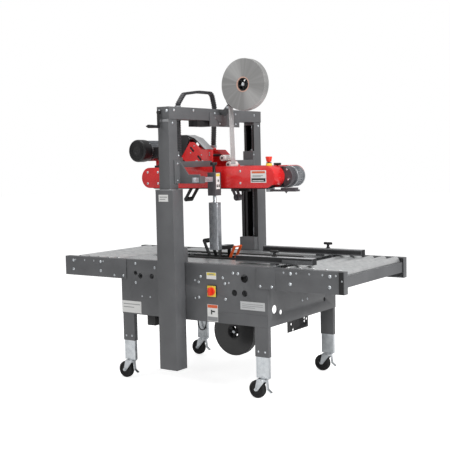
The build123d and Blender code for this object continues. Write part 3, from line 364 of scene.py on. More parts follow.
# ---------------------------------------------------------------------------
# Bed frames: folded and welded steel channels, bolted to the cabinet. Each side rail carries the
# roller axles; a cross member closes the end. Powder coated like the cabinet.
# ---------------------------------------------------------------------------
# A lighter, half-metallic grey for the caps and the bands near the column tops.
bright_edge = new_finish("powder-coated steel, lighter grey", "#9A9B9D", 0.5, 0.36)
for frame_node, away in (("infeed_frame", -1), ("exit_frame", 1)):
    softened(frame_node, 0.0012, frame_node + "_sheet", grey_coat)
    low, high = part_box(frame_node)
    if away < 0:
        bolts = ((-0.917, 0.702), (-0.917, 0.647), (-0.687, 0.703), (-0.687, 0.647), (-0.575, 0.626),
                 (-0.503, 0.628))
    else:
        bolts = ((0.669, 0.703), (0.667, 0.647), (0.904, 0.701), (0.902, 0.645), (0.478, 0.624),
                 (0.551, 0.624))
    screws(frame_node + "_front_screws", [(x, low.y, z) for x, z in bolts], (0, -1, 0), 0.0095, "machine",
           zinc)
    screws(frame_node + "_rear_screws", [(x, high.y, z) for x, z in bolts], (0, 1, 0), 0.0095, "machine",
           zinc)
    # joint plate inside the rail, seen as a thin seam round the splice
    seam = bmesh.new()
    x0, x1 = (-0.599, -0.4792) if away < 0 else (0.4542, 0.576)
    for y, out in ((low.y, -1), (high.y, 1)):
        y0, y1 = sorted((y, y + out * 0.0012))
        block(seam, (x0, y0, low.z + 0.003), (x1, y1, high.z - 0.004), 0.0006)
    place_piece(seam, frame_node + "_splice", grey_coat, body="machine", slot="grey_paint")

# black strip with a screw on the front of the exit rail's end: painted shade, standing for the rail's end
# flange in shadow
end_shade_low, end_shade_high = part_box("exit_frame")
strip = bmesh.new()
block(strip, (end_shade_high.x - 0.030, end_shade_low.y - 0.0025, end_shade_low.z + 0.001),
      (end_shade_high.x - 0.004, end_shade_low.y + 0.001, end_shade_high.z - 0.001), 0.0012)

# ---------------------------------------------------------------------------
# Rollers: seamless galvanised tube with pressed end bearings on a fixed axle.
# ---------------------------------------------------------------------------
# Galvanised tube: almost white, matt-bright, with fine marks round it from rolling cartons.
roller_tube = new_finish("galvanised tube, ground", "#F2F3F3", 0.85, 0.34)
clouds(roller_tube, "#F6F7F7", "#E2E4E5", 45)
grain(roller_tube, 2, 0.03, stretch=(1, 0.05, 1), rough=(0.28, 0.42))
# Black acetal: the bearing housings pressed into each roller, slightly shiny.
acetal = new_finish("moulded acetal, black", "#1D1D1F", 0.0, 0.42)
grain(acetal, 1.5, 0.05, rough=(0.36, 0.5))
for end in ("infeed", "exit"):
    for number in range(1, 6):
        node = f"{end}_roller_{number}"
        low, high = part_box(node)
        middle = (low + high) / 2
        r = (high.z - low.z) / 2
        tube = bmesh.new()
        half = 0.345
        turned(tube, (middle.x, middle.y, middle.z), (0, 1, 0),
               [(-half, 0.0215), (-half, r - 0.001), (-half + 0.001, r), (half - 0.001, r),
                (half, r - 0.001), (half, 0.0215), (-half, 0.0215)], 40)
        tidy(tube)
        place_piece(tube, node + "_tube", roller_tube, node)
        core = bmesh.new()
        for way in (-1, 1):
            turned(core, (middle.x, middle.y + way * (half - 0.010), middle.z), (0, way, 0),
                   [(0, 0), (0, 0.0213), (0.009, 0.0213), (0.0095, 0.020), (0.0095, 0.012), (0.012, 0.011),
                    (0.012, 0)], 28)
        tidy(core)
        place_piece(core, node + "_bearings", acetal, body=node, slot="black_plastic")
        axle = bmesh.new()
        reach = (high.y - low.y) / 2
        turned(axle, middle, (0, 1, 0), [(-reach, 0), (-reach, 0.0055), (-reach + 0.0005, 0.006),
                                         (reach - 0.0005, 0.006), (reach, 0.0055), (reach, 0)], 20)
        tidy(axle)
        place_piece(axle, node + "_axle", zinc, body=node, slot="zinc_steel")

# Black rubber: the drive belts and tyres, dull with a fine moulded grain; the same black is the painted
# shade strip on the exit rail's end.
rubber = new_finish("moulded rubber, black, also painted rail end shade", "#1A1A1B", 0.0, 0.68)
grain(rubber, 2, 0.12, rough=(0.6, 0.78))
# the strip on the exit rail's end is painted shade of the end flange, drawn in black rubber
place_piece(strip, "exit_rail_end_shade", rubber, body="machine", slot="belt_rubber")
screws("rail_end_strip_screw", [(end_shade_high.x - 0.012, end_shade_low.y - 0.0025, 0.680)], (0, -1, 0), 0.0045,
       "machine", zinc)

# ---------------------------------------------------------------------------
# Belt drives: rubber belts with a rough carrying face, on crowned steel pulleys.
# ---------------------------------------------------------------------------
# Ribbed belt cover: small cross ribs, drawn 8 mm apart so that they show.
belt_cover = new_finish("ribbed rubber belt", "#171718", 0.0, 0.7)
grain(belt_cover, 3, 0.25, stretch=(1, 0.3, 1), rough=(0.6, 0.8))
for level_name in ("lower", "upper"):
    low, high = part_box(level_name + "_belts")
    r = (high.z - low.z) / 2
    mid_z = (high.z + low.z) / 2
    for number, y in ((1, low.y), (2, high.y - 0.050)):
        loop = bmesh.new()
        ends = ((high.x - r, -90, 90), (low.x + r, 90, 270))
        outline = []
        for cx, a0, a1 in ends:
            for step in range(17):
                a = radians(a0 + (a1 - a0) * step / 16)
                outline.append((cx, a))
        rim = []
        for radius in (r, r - 0.004):
            rim.append([loop.verts.new((cx + radius * cos(a), y, mid_z + radius * sin(a))) for cx,
                        a in outline])
        rings = []
        for verts in rim:
            rings.append([loop.edges.new((v, w)) for v, w in zip(verts, verts[1:] + verts[:1])])
        face = bmesh.ops.bridge_loops(loop, edges=rings[0] + rings[1])["faces"]
        drawn = bmesh.ops.extrude_face_region(loop, geom=face)["geom"]
        bmesh.ops.translate(loop, verts=[g for g in drawn if isinstance(g, bmesh.types.BMVert)],
                            vec=(0, 0.050, 0))
        tidy(loop)
        edges = [e for e in loop.edges if e.calc_face_angle(0) > radians(60)]
        bmesh.ops.bevel(loop, geom=edges, offset=0.0008, offset_type="OFFSET", segments=1, profile=0.5,
                        affect="EDGES", clamp_overlap=True, material=-1)
        names = (level_name + "_belts",) if number == 1 else ()
        if names:
            place_piece(loop, f"{level_name}_belt_{number}", belt_cover, *names)
        else:
            place_piece(loop, f"{level_name}_belt_{number}", belt_cover,
                        body=frame["nodes"][level_name + "_belts"]["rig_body"], slot="belt_rubber")

# Ground steel: shafts, pulleys and lead screws, bright with fine turning marks.
ground_steel = new_finish("ground steel", "#B9BCC0", 1.0, 0.24)
grain(ground_steel, 1.5, 0.03, rough=(0.18, 0.32))
for node in ("lower_drive_shaft", "lower_idler_shaft", "upper_drive_shaft", "upper_idler_shaft"):
    low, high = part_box(node)
    middle = (low + high) / 2
    reach = (high.y - low.y) / 2
    drive = bmesh.new()
    profile = [(-reach, 0), (-reach, 0.009), (-reach + 0.001, 0.010)]
    for y in (-0.117, 0.117):
        profile += [(y - 0.027, 0.010), (y - 0.027, 0.029), (y - 0.026, 0.0295), (y, 0.030),
                    (y + 0.026, 0.0295), (y + 0.027, 0.029), (y + 0.027, 0.010)]
    profile += [(reach - 0.001, 0.010), (reach, 0.009), (reach, 0)]
    turned(drive, middle, (0, 1, 0), profile, 40)
    tidy(drive)
    place_piece(drive, node + "_turned", ground_steel, node)

# ---------------------------------------------------------------------------
# Lower taping head: two laser-cut side plates on turned spacers, with a sprung apply arm, an orange
# buffing arm and the knife housing. Plates are blacked steel; rollers are ground rubber.
# ---------------------------------------------------------------------------


def painted_where(piece, finish, chosen):
    """Gives a finish to the faces of a piece whose centre passes chosen(centre)."""
    piece.data.materials.append(finish)
    for face in piece.data.polygons:
        if chosen(face.center):
            face.material_index = len(piece.data.materials) - 1


# Black semi-gloss enamel: deep, a little cloudy where it was sprayed thin.
black_coat = new_finish("semi-gloss enamel, black", "#1B1B1D", 0.0, 0.36)
clouds(black_coat, "#222224", "#161617", 60)
grain(black_coat, 4, 0.08, rough=(0.3, 0.45))
# Orange enamel: the arm that wipes the tape down is painted to be seen.
orange_coat = new_finish("gloss enamel, orange", "#F0652A", 0.0, 0.3)
clouds(orange_coat, "#F56E31", "#E65C22", 40)

head_plates = softened("lower_tape_head", 0.0006, "lower_head_plates", black_coat)
painted_where(head_plates, zinc, lambda c: c.z > 0.795)
low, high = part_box("lower_apply_arm")
middle_y = (low.y + high.y) / 2
softened("lower_apply_arm", 0.0016, "lower_apply_arm_bars", black_coat)
softened("lower_buff_arm", 0.0012, "lower_buff_arm_bars", orange_coat)
collars = bmesh.new()
for x, z in ((-0.200, 0.585), (-0.030, 0.585), (-0.075, 0.640), (0, 0.650)):
    for way in (-1, 1):
        turned(collars, (x, middle_y + way * 0.058, z), (0, way, 0),
               [(-0.001, 0), (-0.001, 0.010), (0.001, 0.010), (0.0012, 0.0085), (0.006, 0.0080),
                (0.0066, 0.0072), (0.0066, 0)], 6)
tidy(collars)
place_piece(collars, "lower_head_nuts", zinc, body="machine", slot="zinc_steel", smooth=20)

# ---------------------------------------------------------------------------
# Tape rolls: clear film wound on a cardboard core, on a black moulded hub with a ground spindle. The lower
# roll's film and core are coloured near black: painted shade, as it hangs in shadow under the cabinet.
# ---------------------------------------------------------------------------


def film_finish(name, light, dark, middle, roughness):
    """The side of a wound roll: fine rings round the middle, soft radial streaks and two opposite wedges of
    painted highlight.
    """
    finish = new_finish(name, light, 0.0, roughness, coat_weight=0.4, coat_roughness=0.15)
    tree = finish.node_tree
    shader = tree.nodes["Principled BSDF"]
    place = add_node(tree, "ShaderNodeTexCoord")
    centred = add_node(tree, "ShaderNodeMapping", {"Vector": (place, "Object")}, {"Location": -middle})
    parts = add_node(tree, "ShaderNodeSeparateXYZ", {"Vector": (centred, "Vector")})
    angle = add_node(tree, "ShaderNodeMath", {0: (parts, "Z"), 1: (parts, "X")}, operation="ARCTAN2")
    # two opposite wedges round the middle, lighter by angle: painted highlight of the wound film
    twice = add_node(tree, "ShaderNodeMath", {0: (angle, "Value")}, {1: 2.0, 2: 1.9},
                     operation="MULTIPLY_ADD")
    sheen = add_node(tree, "ShaderNodeMath", {0: (twice, "Value")}, operation="COSINE")
    wedge = add_node(tree, "ShaderNodeMapRange", {"Value": (sheen, "Value")},
                     {"From Min": 0.3, "From Max": 1.0, "To Min": 0.0, "To Max": 0.55})
    streaks = add_node(tree, "ShaderNodeTexNoise", {"W": (angle, "Value")}, {"Scale": 5.0, "Detail": 4.0},
                       noise_dimensions="1D")
    lines = add_node(tree, "ShaderNodeMapRange", {"Value": (streaks, "Fac")},
                     {"From Min": 0.42, "From Max": 0.75, "To Min": 0.0, "To Max": 0.22})
    total = add_node(tree, "ShaderNodeMath", {0: (wedge, "Result"), 1: (lines, "Result")}, operation="ADD",
                     use_clamp=True)
    ramp = add_node(tree, "ShaderNodeValToRGB", {"Fac": (total, "Value")})
    ramp.color_ramp.elements[0].color = linear(dark)
    ramp.color_ramp.elements[1].color = linear(light)
    tree.links.new(ramp.outputs["Color"], shader.inputs["Base Color"])
    radius = add_node(tree, "ShaderNodeVectorMath", {0: (centred, "Vector")}, {1: (1, 0, 1)},
                      operation="MULTIPLY")
    length = add_node(tree, "ShaderNodeVectorMath", {0: (radius, "Vector")}, operation="LENGTH")
    rings = add_node(tree, "ShaderNodeTexNoise", {"W": (length, "Value")}, {"Scale": 450.0, "Detail": 2.0},
                     noise_dimensions="1D")
    bump = add_node(tree, "ShaderNodeBump", {"Height": (rings, "Fac")},
                    {"Strength": 0.4, "Distance": 0.0002})
    tree.links.new(bump.outputs["Normal"], shader.inputs["Normal"])
    return finish


# Kraft board: the cut edge of the core, pinkish brown and soft.
core_board = new_finish("kraft board core", "#C9A595", 0.0, 0.75)
grain(core_board, 2, 0.1)

# the lower roll's near-black film colours are painted shade
for node, light, dark in (("upper_tape_roll", "#B4B4B3", "#828281"),
                          ("lower_tape_roll", "#1C1C1E", "#0E0E0F")):
    low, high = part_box(node)
    middle = (low + high) / 2
    outer = (high.z - low.z) / 2
    front = low.y
    film = film_finish("wound tape film, " + ("clear" if node[0] == "u" else "dark"), light, dark, middle,
                       0.3)
    wound = bmesh.new()
    turned(wound, (middle.x, front + 0.0022, middle.z), (0, 1, 0),
           [(0, 0.045), (0, outer - 0.0012), (0.0012, outer), (0.0444, outer), (0.0456, outer - 0.0012),
            (0.0456, 0.045), (0, 0.045)], 128)
    tidy(wound)
    place_piece(wound, node + "_film", film, node)
    board = bmesh.new()
    turned(board, (middle.x, front + 0.0015, middle.z), (0, 1, 0),
           [(0, 0.0385), (0, 0.0450), (0.047, 0.0450), (0.047, 0.0385), (0, 0.0385)], 64)
    tidy(board)
    # black enamel on the lower roll's core is painted shade
    place_piece(board, node + "_core", core_board if node[0] == "u" else black_coat,
                body=node.replace("_tape", ""), slot="tape_film")
    hub = bmesh.new()
    turned(hub, (middle.x, front + 0.006, middle.z), (0, 1, 0),
           [(0, 0.0330), (0, 0.0380), (0.036, 0.0380), (0.036, 0.0330), (0.0, 0.0330)], 48)
    turned(hub, (middle.x, front + 0.002, middle.z), (0, 1, 0),
           [(0, 0.0062), (0, 0.0125), (0.002, 0.0140), (0.038, 0.0140), (0.038, 0.0062), (0, 0.0062)], 32)
    for spoke in range(5):
        turn = Matrix.Translation((middle.x, front + 0.020,
                                   middle.z)) @ Matrix.Rotation(radians(72 * spoke + 20), 4, "Y")
        block(hub, (0.0125, -0.013, -0.0035), (0.034, 0.013, 0.0035), 0.001, 2, turn)
    tidy(hub)
    place_piece(hub, node + "_hub", acetal, body=node.replace("_tape", ""), slot="black_plastic")
    cap = bmesh.new()
    turned(cap, (middle.x, front + 0.0018, middle.z), (0, -1, 0),
           [(-0.002, 0), (-0.002, 0.0105), (0.0, 0.0105), (0.0012, 0.009), (0.0018, 0.0055), (0.0018, 0)],
           24)
    tidy(cap)
    place_piece(cap, node + "_spindle_cap", zinc, body=node.replace("_tape", ""), slot="zinc_steel")

# ---------------------------------------------------------------------------
# Brackets under the cabinet: the lower roll's hanger, a drilled plate and a small relay box.
# ---------------------------------------------------------------------------
softened("under_brackets", 0.0008, "under_cabinet_brackets", black_coat)

# ---------------------------------------------------------------------------
# Supply cable: black rubber-sheathed flex that hangs in one loop beside the infeed rear leg, from
# the end panel to a cross bar of the cabinet.
# ---------------------------------------------------------------------------
CABLE_ROUTE = ((-0.5155, 0.3965, 0.520), (-0.514, 0.3955, 0.430), (-0.508, 0.3945, 0.340),
               (-0.500, 0.3915, 0.264), (-0.494, 0.3905, 0.209), (-0.480, 0.3895, 0.176),
               (-0.444, 0.3895, 0.176), (-0.430, 0.3905, 0.209), (-0.425, 0.3925, 0.264),
               (-0.423, 0.3945, 0.345), (-0.426, 0.3955, 0.430), (-0.430, 0.3965, 0.520),
               (-0.430, 0.3970, 0.6097))
# Rubber sheath: soft black with a faint ripple from the cores inside.
sheath = new_finish("rubber cable sheath", "#19191A", 0.0, 0.55)
grain(sheath, 6, 0.15, rough=(0.5, 0.65))
flex = bpy.data.curves.new("supply_cable_flex", "CURVE")
flex.dimensions = "3D"
flex.bevel_depth = 0.004
flex.bevel_resolution = 4
flex.resolution_u = 12
flex.use_fill_caps = True
line = flex.splines.new("NURBS")
line.points.add(len(CABLE_ROUTE) - 1)
for point, place in zip(line.points, CABLE_ROUTE):
    point.co = (*place, 1)
line.order_u = 3
line.use_endpoint_u = True
cable = bpy.data.objects.new("supply_cable_flex", flex)
scene.collection.objects.link(cable)
flex.materials.append(sheath)
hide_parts("supply_cable")
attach(cable, "machine")

# ---------------------------------------------------------------------------
# Legs and casters: zinc-plated tubes that slide in the leg sleeves, each on a braked swivel caster
# with a pressed steel fork and a black rubber wheel.
# ---------------------------------------------------------------------------
softened("leg_tubes", 0.0018, "leg_inner_tubes", zinc)
sleeve_screws = []
for end, way in (("infeed", -1), ("exit", 1)):
    for flank in ("front", "rear"):
        fork = f"caster_fork_{end}_{flank}"
        wheel = f"caster_wheel_{end}_{flank}"
        low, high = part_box(wheel)
        hub_at = (low + high) / 2
        wide = (high.y - low.y) / 2
        softened(fork, 0.0009, fork + "_pressing", zinc)
        race = bmesh.new()
        swivel = Vector((way * 0.476, hub_at.y, 0.1067))
        turned(race, swivel, (0, 0, -1),
               [(0, 0.006), (0, 0.021), (0.003, 0.024), (0.008, 0.024), (0.011, 0.020), (0.011, 0.006),
                (0, 0.006)], 36)
        for side_way in (-1, 1):
            turned(race, (hub_at.x, hub_at.y + side_way * 0.0208, hub_at.z), (0, side_way, 0),
                   [(0, 0), (0, 0.0095), (0.0045, 0.0095), (0.005, 0.0088), (0.005, 0.0056),
                    (0.0085, 0.0050), (0.0085, 0)], 6)
        tidy(race)
        place_piece(race, fork + "_race", zinc, body=f"{end}_{flank}_fork", slot="zinc_steel", smooth=20)
        tyre = bmesh.new()
        turned(tyre, hub_at, (0, 1, 0),
               [(-wide, 0.0055), (-wide, 0.0150), (-wide + 0.004, 0.0160), (-wide + 0.005, 0.0345),
                (-wide + 0.0005, 0.0360), (-wide + 0.0005, 0.0440), (-wide + 0.004, 0.0485),
                (-wide + 0.009, 0.0498), (0, 0.0500), (wide - 0.009, 0.0498), (wide - 0.004, 0.0485),
                (wide - 0.0005, 0.0440), (wide - 0.0005, 0.0360), (wide - 0.005, 0.0345),
                (wide - 0.004, 0.0160), (wide, 0.0150), (wide, 0.0055), (-wide, 0.0055)], 56)
        tidy(tyre)
        place_piece(tyre, wheel + "_tyre", rubber, wheel)
        sleeve_screws += [(way * 0.476 - 0.022, hub_at.y - 0.014, 0.262),
                          (way * 0.476 + 0.022, hub_at.y - 0.014, 0.262)]
screws("leg_clamp_screws", [p for p in sleeve_screws if p[1] < 0], (0, -1, 0), 0.006, "machine", zinc)

# ---------------------------------------------------------------------------
# Columns and beam: lower columns are open channels, upper ones slotted square tube standing in them;
# the beam is rectangular tube. All are powder coated; caps and bands at the column tops are a lighter grey.
# ---------------------------------------------------------------------------
softened("lower_columns", 0.0014, "lower_column_channels", grey_coat)
softened("upper_columns", 0.0012, "upper_column_tubes", grey_coat)
beam_piece = softened("top_beam", 0.0016, "cross_beam", grey_coat)
beam_low, beam_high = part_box("top_beam")
painted_where(beam_piece, black_coat, lambda c: c.z < beam_low.z + 0.0355)
lower_low, lower_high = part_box("lower_columns")
screws("beam_end_screws", [(-0.121, beam_low.y, 1.592), (-0.068, beam_low.y, 1.593)], (0, -1, 0), 0.0085,
       "machine", zinc)
screws("beam_side_screws",
       [(beam_high.x, y, z) for y, z in ((-0.378, 1.597), (-0.195, 1.600), (0.450, 1.590))], (1, 0, 0),
       0.0085, "machine", zinc)
screws("column_side_screws", [(-0.0565, y, z) for y, z in ((-0.390, 1.524), (0.500, 1.524))],
       (1, 0, 0), 0.0085, "machine", zinc)
caps = bmesh.new()
for y0, y1 in ((lower_low.y, lower_low.y + 0.030), (lower_high.y - 0.030, lower_high.y)):
    block(caps, (lower_low.x - 0.0006, y0 - 0.0006, lower_high.z - 0.0045),
          (lower_high.x + 0.0006, y1 + 0.0006, lower_high.z + 0.0004), 0.0006)
for y0, y1 in ((-0.4261, -0.4250), (0.5280, 0.5291)):
    block(caps, (-0.1330, y0, 1.5300), (-0.0570, y1, 1.5452), 0.0005)
place_piece(caps, "column_cap_edges", bright_edge, body="machine", slot="grey_paint")
screws("column_top_screws",
       [(-0.062, lower_low.y + 0.015, lower_high.z), (-0.062, lower_high.y - 0.015, lower_high.z)],
       (0, 0, 1), 0.0085, "machine", zinc)
sign("column_label", (-0.134, 1.082, lower_low.y), (-0.066, 1.121), -1, "machine",
     ((paper, 0, 1, 0, 1), (sign_grey, 0.1, 0.9, 0.60, 0.72), (sign_grey, 0.1, 0.7, 0.30, 0.40)))

# black low-friction strips inside the rear column beside its screw and in the lower rear channel, and a
# thin black liner on the rear column's inner walls that is painted shade inside the tube
strips_and_shade_liner = bmesh.new()
inner = 0.4515
for x0, x1 in ((-0.1330, -0.1202), (-0.0698, -0.0570)):
    block(strips_and_shade_liner, (x0, inner - 0.0012, 0.814), (x1, inner - 0.0001, 1.528), 0.0003, 1)
# liner on the inner back and side walls: painted shade
block(strips_and_shade_liner, (-0.1300, 0.5248, 0.645), (-0.0600, 0.5252, 1.526), 0)
for x0, x1 in ((-0.1303, -0.1300), (-0.0600, -0.0597)):
    block(strips_and_shade_liner, (x0, 0.4555, 0.645), (x1, 0.5248, 1.526), 0)
for x0, x1 in ((-0.1565, -0.1412), (-0.0488, -0.0335)):
    block(strips_and_shade_liner, (x0, lower_high.y - 0.0962, 0.814), (x1, lower_high.y - 0.0951, 1.149), 0.0003, 1)
place_piece(strips_and_shade_liner, "column_strips_and_shade_liner", black_coat, body="machine", slot="black_paint")

# ---------------------------------------------------------------------------
# Lead screws and crank: trapezoidal thread rolled on ground bar, geared to the crank's cross shaft
# inside the beam. The crank has a blacked arm and a free-turning moulded grip.
# ---------------------------------------------------------------------------
PITCH = 0.005
for node in ("lead_screw_front", "lead_screw_rear"):
    low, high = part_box(node)
    middle = (low + high) / 2
    thread = bmesh.new()
    foot, crest, base = 0.870, 0.0080, 0.0064
    corners = [(0, base), (0.0012, base), (0.0024, crest), (0.0038, crest), (PITCH, base)]
    verts = [thread.verts.new((middle.x + r, middle.y, foot + d)) for d, r in corners]
    edges = [thread.edges.new(pair) for pair in zip(verts, verts[1:])]
    bmesh.ops.spin(thread, geom=verts + edges, cent=(middle.x, middle.y, 0), axis=(0, 0, 1), angle=2 * pi,
                   dvec=(0, 0, PITCH / 12), steps=12)
    turns = 1
    for _ in range(7):
        copy = bmesh.ops.duplicate(thread, geom=thread.verts[:] + thread.edges[:] + thread.faces[:])["geom"]
        bmesh.ops.translate(thread, verts=[g for g in copy if isinstance(g, bmesh.types.BMVert)],
                            vec=(0, 0, PITCH * turns))
        turns *= 2
    bmesh.ops.remove_doubles(thread, verts=thread.verts, dist=2e-6)
    bmesh.ops.holes_fill(thread, edges=thread.edges)
    bmesh.ops.recalc_face_normals(thread, faces=thread.faces)
    turned(thread, (middle.x, middle.y, low.z), (0, 0, 1),
           [(0, 0), (0, 0.0075), (0.0005, 0.008), (0.245, 0.008), (0.246, 0)], 24)
    gear_top = high.z - low.z
    turned(thread, (middle.x, middle.y, low.z), (0, 0, 1),
           [(0.885, 0), (0.885, 0.008), (gear_top - 0.020, 0.008), (gear_top - 0.020, 0.0108),
            (gear_top - 0.004, 0.0108), (gear_top - 0.004, 0.008), (gear_top, 0.008), (gear_top, 0)], 24)
    place_piece(thread, node + "_thread", ground_steel, node, smooth=25)

low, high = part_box("crank_shaft")
hub_y = -0.4295
handle = bmesh.new()
axis_x, axis_z = -0.117, 1.585
turned(handle, (axis_x, 0, axis_z), (0, 1, 0),
       [(hub_y - 0.002, 0), (hub_y - 0.002, 0.006), (-0.3945, 0.006), (-0.3945, 0.0108), (-0.3785, 0.0108),
        (-0.3785, 0.006), (0.4815, 0.006), (0.4815, 0.0108), (0.4975, 0.0108), (0.4975, 0.006),
        (high.y, 0.006), (high.y, 0)], 24)
tidy(handle)
place_piece(handle, "crank_cross_shaft", ground_steel, "crank_shaft")
arm = bmesh.new()
turned(arm, (axis_x, hub_y, axis_z), (0, -1, 0),
       [(0, 0), (0, 0.0100), (0.001, 0.011), (0.013, 0.011), (0.014, 0.010), (0.014, 0)], 32)
block(arm, (axis_x - 0.008, hub_y - 0.0138, axis_z - 0.080), (axis_x + 0.008, hub_y - 0.008, axis_z),
      0.0015)
turned(arm, (axis_x, hub_y - 0.008, axis_z - 0.080), (0, -1, 0),
       [(0, 0), (0, 0.008), (0.0058, 0.008), (0.006, 0.004), (0.108, 0.004), (0.1082, 0.0034), (0.1082, 0)],
       24)
tidy(arm)
place_piece(arm, "crank_arm", black_coat, body="crank", slot="black_paint")
low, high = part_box("crank_grip")
grip = bmesh.new()
reach = high.y - low.y
turned(grip, (axis_x, low.y, (low.z + high.z) / 2), (0, 1, 0),
       [(0, 0.0042), (0, 0.0070), (0.002, 0.0092), (0.006, 0.0100), (0.030, 0.0094), (0.055, 0.0088),
        (0.075, 0.0080), (0.084, 0.0086), (reach - 0.001, 0.0084), (reach, 0.0078), (reach, 0.0042),
        (0, 0.0042)], 32)
tidy(grip)
place_piece(grip, "crank_grip_moulding", acetal, "crank_grip")

# ---------------------------------------------------------------------------
# Head carriages: cast grey blocks that slide in the columns, with an arm over each belt cover.
# ---------------------------------------------------------------------------
softened("head_bridge", 0.0022, "head_carriages", grey_coat)
screws("carriage_screws", [(-0.0565, y, z) for y in (-0.3400, 0.4430) for z in (1.262, 1.340)], (1, 0, 0),
       0.006, "head", zinc)
screws("bridge_screws", [(x, y, 1.307) for y in (-0.090, 0.190) for x in (-0.118, -0.072)], (0, 0, 1),
       0.0075, "head", zinc)
nuts = bmesh.new()
for y in (-0.3865, 0.4895):
    turned(nuts, (-0.095, y, 1.363), (0, 0, 1),
           [(0, 0.0084), (0, 0.022), (0.003, 0.022), (0.0035, 0.0145), (0.013, 0.0135), (0.014, 0.0125),
            (0.014, 0.0084), (0, 0.0084)], 32)
tidy(nuts)
place_piece(nuts, "lead_screw_nuts", zinc, body="head", slot="zinc_steel")

# ---------------------------------------------------------------------------
# Belt covers: red enamelled steel, round ended, with bright screws and a plain warning sign.
# ---------------------------------------------------------------------------
# Gloss enamel over primer: deep red with a clear, slightly wavy shine.
red_coat = new_finish("gloss enamel, red", "#E01E20", 0.0, 0.3, coat_weight=0.5, coat_roughness=0.08)
clouds(red_coat, "#E62527", "#CF181B", 90)
grain(red_coat, 6, 0.05, rough=(0.24, 0.36))
HEAD_FRONT, HEAD_REAR = -0.1205, 0.2235


def rounded_panel(shape, x0, x1, middle_z, radius, y0, y1, fold=0.0006):
    """Adds a flat round-ended panel whose thin side faces along Y."""
    ring = []
    for centre, first in ((x1 - radius, -90), (x0 + radius, 90)):
        for step in range(25):
            angle = radians(first + 7.5 * step)
            ring.append((centre + radius * cos(angle), middle_z + radius * sin(angle)))
    face = shape.faces.new([shape.verts.new((x, y0, z)) for x, z in ring])
    made = bmesh.ops.extrude_face_region(shape, geom=[face])
    moved = [v for v in made["geom"] if isinstance(v, bmesh.types.BMVert)]
    bmesh.ops.translate(shape, verts=moved, vec=(0, y1 - y0, 0))
    rims = [e for f in (face, *[g for g in made["geom"] if isinstance(g, bmesh.types.BMFace)]) if f.is_valid
            for e in f.edges]
    bmesh.ops.bevel(shape, geom=list(set(rims)), offset=fold, offset_type="OFFSET", segments=2, profile=0.5,
                    affect="EDGES", clamp_overlap=True, material=-1)


for flank, face_y, out in (("front", HEAD_FRONT, -1), ("rear", HEAD_REAR, 1)):
    softened(f"head_cover_{flank}", 0.0045, f"{flank}_belt_cover", red_coat, sides=4)
    panel = bmesh.new()
    rounded_panel(panel, -0.5145, 0.4405, 1.2095, 0.0570, face_y, face_y + out * 0.0012, 0.0005)
    tidy(panel)
    place_piece(panel, f"{flank}_cover_panel", red_coat, body="head", slot="red_paint")
    screws(f"{flank}_cover_screws", [(x, face_y + out * 0.0012, z) for x in (-0.472, -0.391, 0.216, 0.400)
                                      for z in (1.1755, 1.2435)][:6], (0, out, 0), 0.0070, "head", zinc)
sign("belt_sign", (0.288, 1.1775, HEAD_FRONT - 0.0012), (0.392, 1.247), -1, "head",
     ((paper, 0, 1, 0, 1), (sign_orange, 0.07, 0.93, 0.76, 0.93), (sign_black, 0.05, 0.95, 0.08, 0.36),
      (sign_grey, 0.12, 0.80, 0.56, 0.60), (sign_grey, 0.12, 0.66, 0.47, 0.51),
      (paper, 0.12, 0.84, 0.14, 0.20)))

# ---------------------------------------------------------------------------
# Motors: die-cast finned bodies, a black fan cover with a ring grille, and a grey gearbox.
# ---------------------------------------------------------------------------
# Bare die-cast aluminium: pale grey, fine sand texture, edges worn brighter.
cast_metal = new_finish("die-cast aluminium", "#B4B6B9", 0.85, 0.42)
clouds(cast_metal, "#C0C2C5", "#9EA1A5", 30)
grain(cast_metal, 2, 0.15, rough=(0.35, 0.5))
# Gearbox enamel: dark warm grey, dull.
dark_coat = new_finish("satin enamel, dark grey", "#4C484C", 0.0, 0.45)
clouds(dark_coat, "#524E52", "#454145", 50)
grain(dark_coat, 3, 0.12)


def finned(shape, start, length, core, tip, fins, flange):
    """Adds a motor body along +Y: a core with lengthwise fins between two flanges."""
    x, y, z = start
    turned(shape, start, (0, 1, 0),
           [(0, 0), (0, flange - 0.001), (0.001, flange), (0.010, flange), (0.011, core),
            (length - 0.011, core), (length - 0.010, flange), (length - 0.001, flange),
            (length, flange - 0.001), (length, 0)], 48)
    for fin in range(fins):
        turn = Matrix.Translation((x, y, z)) @ Matrix.Rotation(2 * pi * fin / fins, 4, "Y")
        block(shape, (core - 0.002, 0.009, -0.0014), (tip, length - 0.009, 0.0014), 0.0006, 1, turn)


MOTOR_X, MOTOR_Z = -0.540, 1.377
body_shape = bmesh.new()
finned(body_shape, (MOTOR_X, -0.0785, MOTOR_Z), 0.200, 0.0585, 0.0645, 30, 0.0645)
tidy(body_shape)
place_piece(body_shape, "left_motor_body", cast_metal, "belt_motors", slot="cast_aluminium")
fan = bmesh.new()
rings = [(0.0600, 0.0600), (0.0604, 0.0570)]
for radius in (0.052, 0.0445, 0.037, 0.0295):
    rings += [(0.0604, radius + 0.0040), (0.0582, radius + 0.0034), (0.0582, radius + 0.0006),
              (0.0604, radius)]
turned(fan, (MOTOR_X, -0.0785, MOTOR_Z), (0, -1, 0),
       [(-0.012, 0.0650), (-0.012, 0.0680), (0.0, 0.0690), (0.045, 0.0695), (0.054, 0.0680),
        (0.0585, 0.0640)] + rings + [(0.0604, 0.0180), (0.0590, 0.0165), (0.0590, 0.0085), (0.0602, 0.0070),
                                     (0.0602, 0)], 64)
tidy(fan)
place_piece(fan, "fan_cover", black_coat, body="head", slot="black_paint")
screws("fan_cover_screws",
       [(MOTOR_X + 0.0692 * cos(a), -0.0755, MOTOR_Z + 0.0692 * sin(a)) for a in (0.7, 2.3, 3.9)],
       (0, -1, 0), 0.0035, "head", zinc)
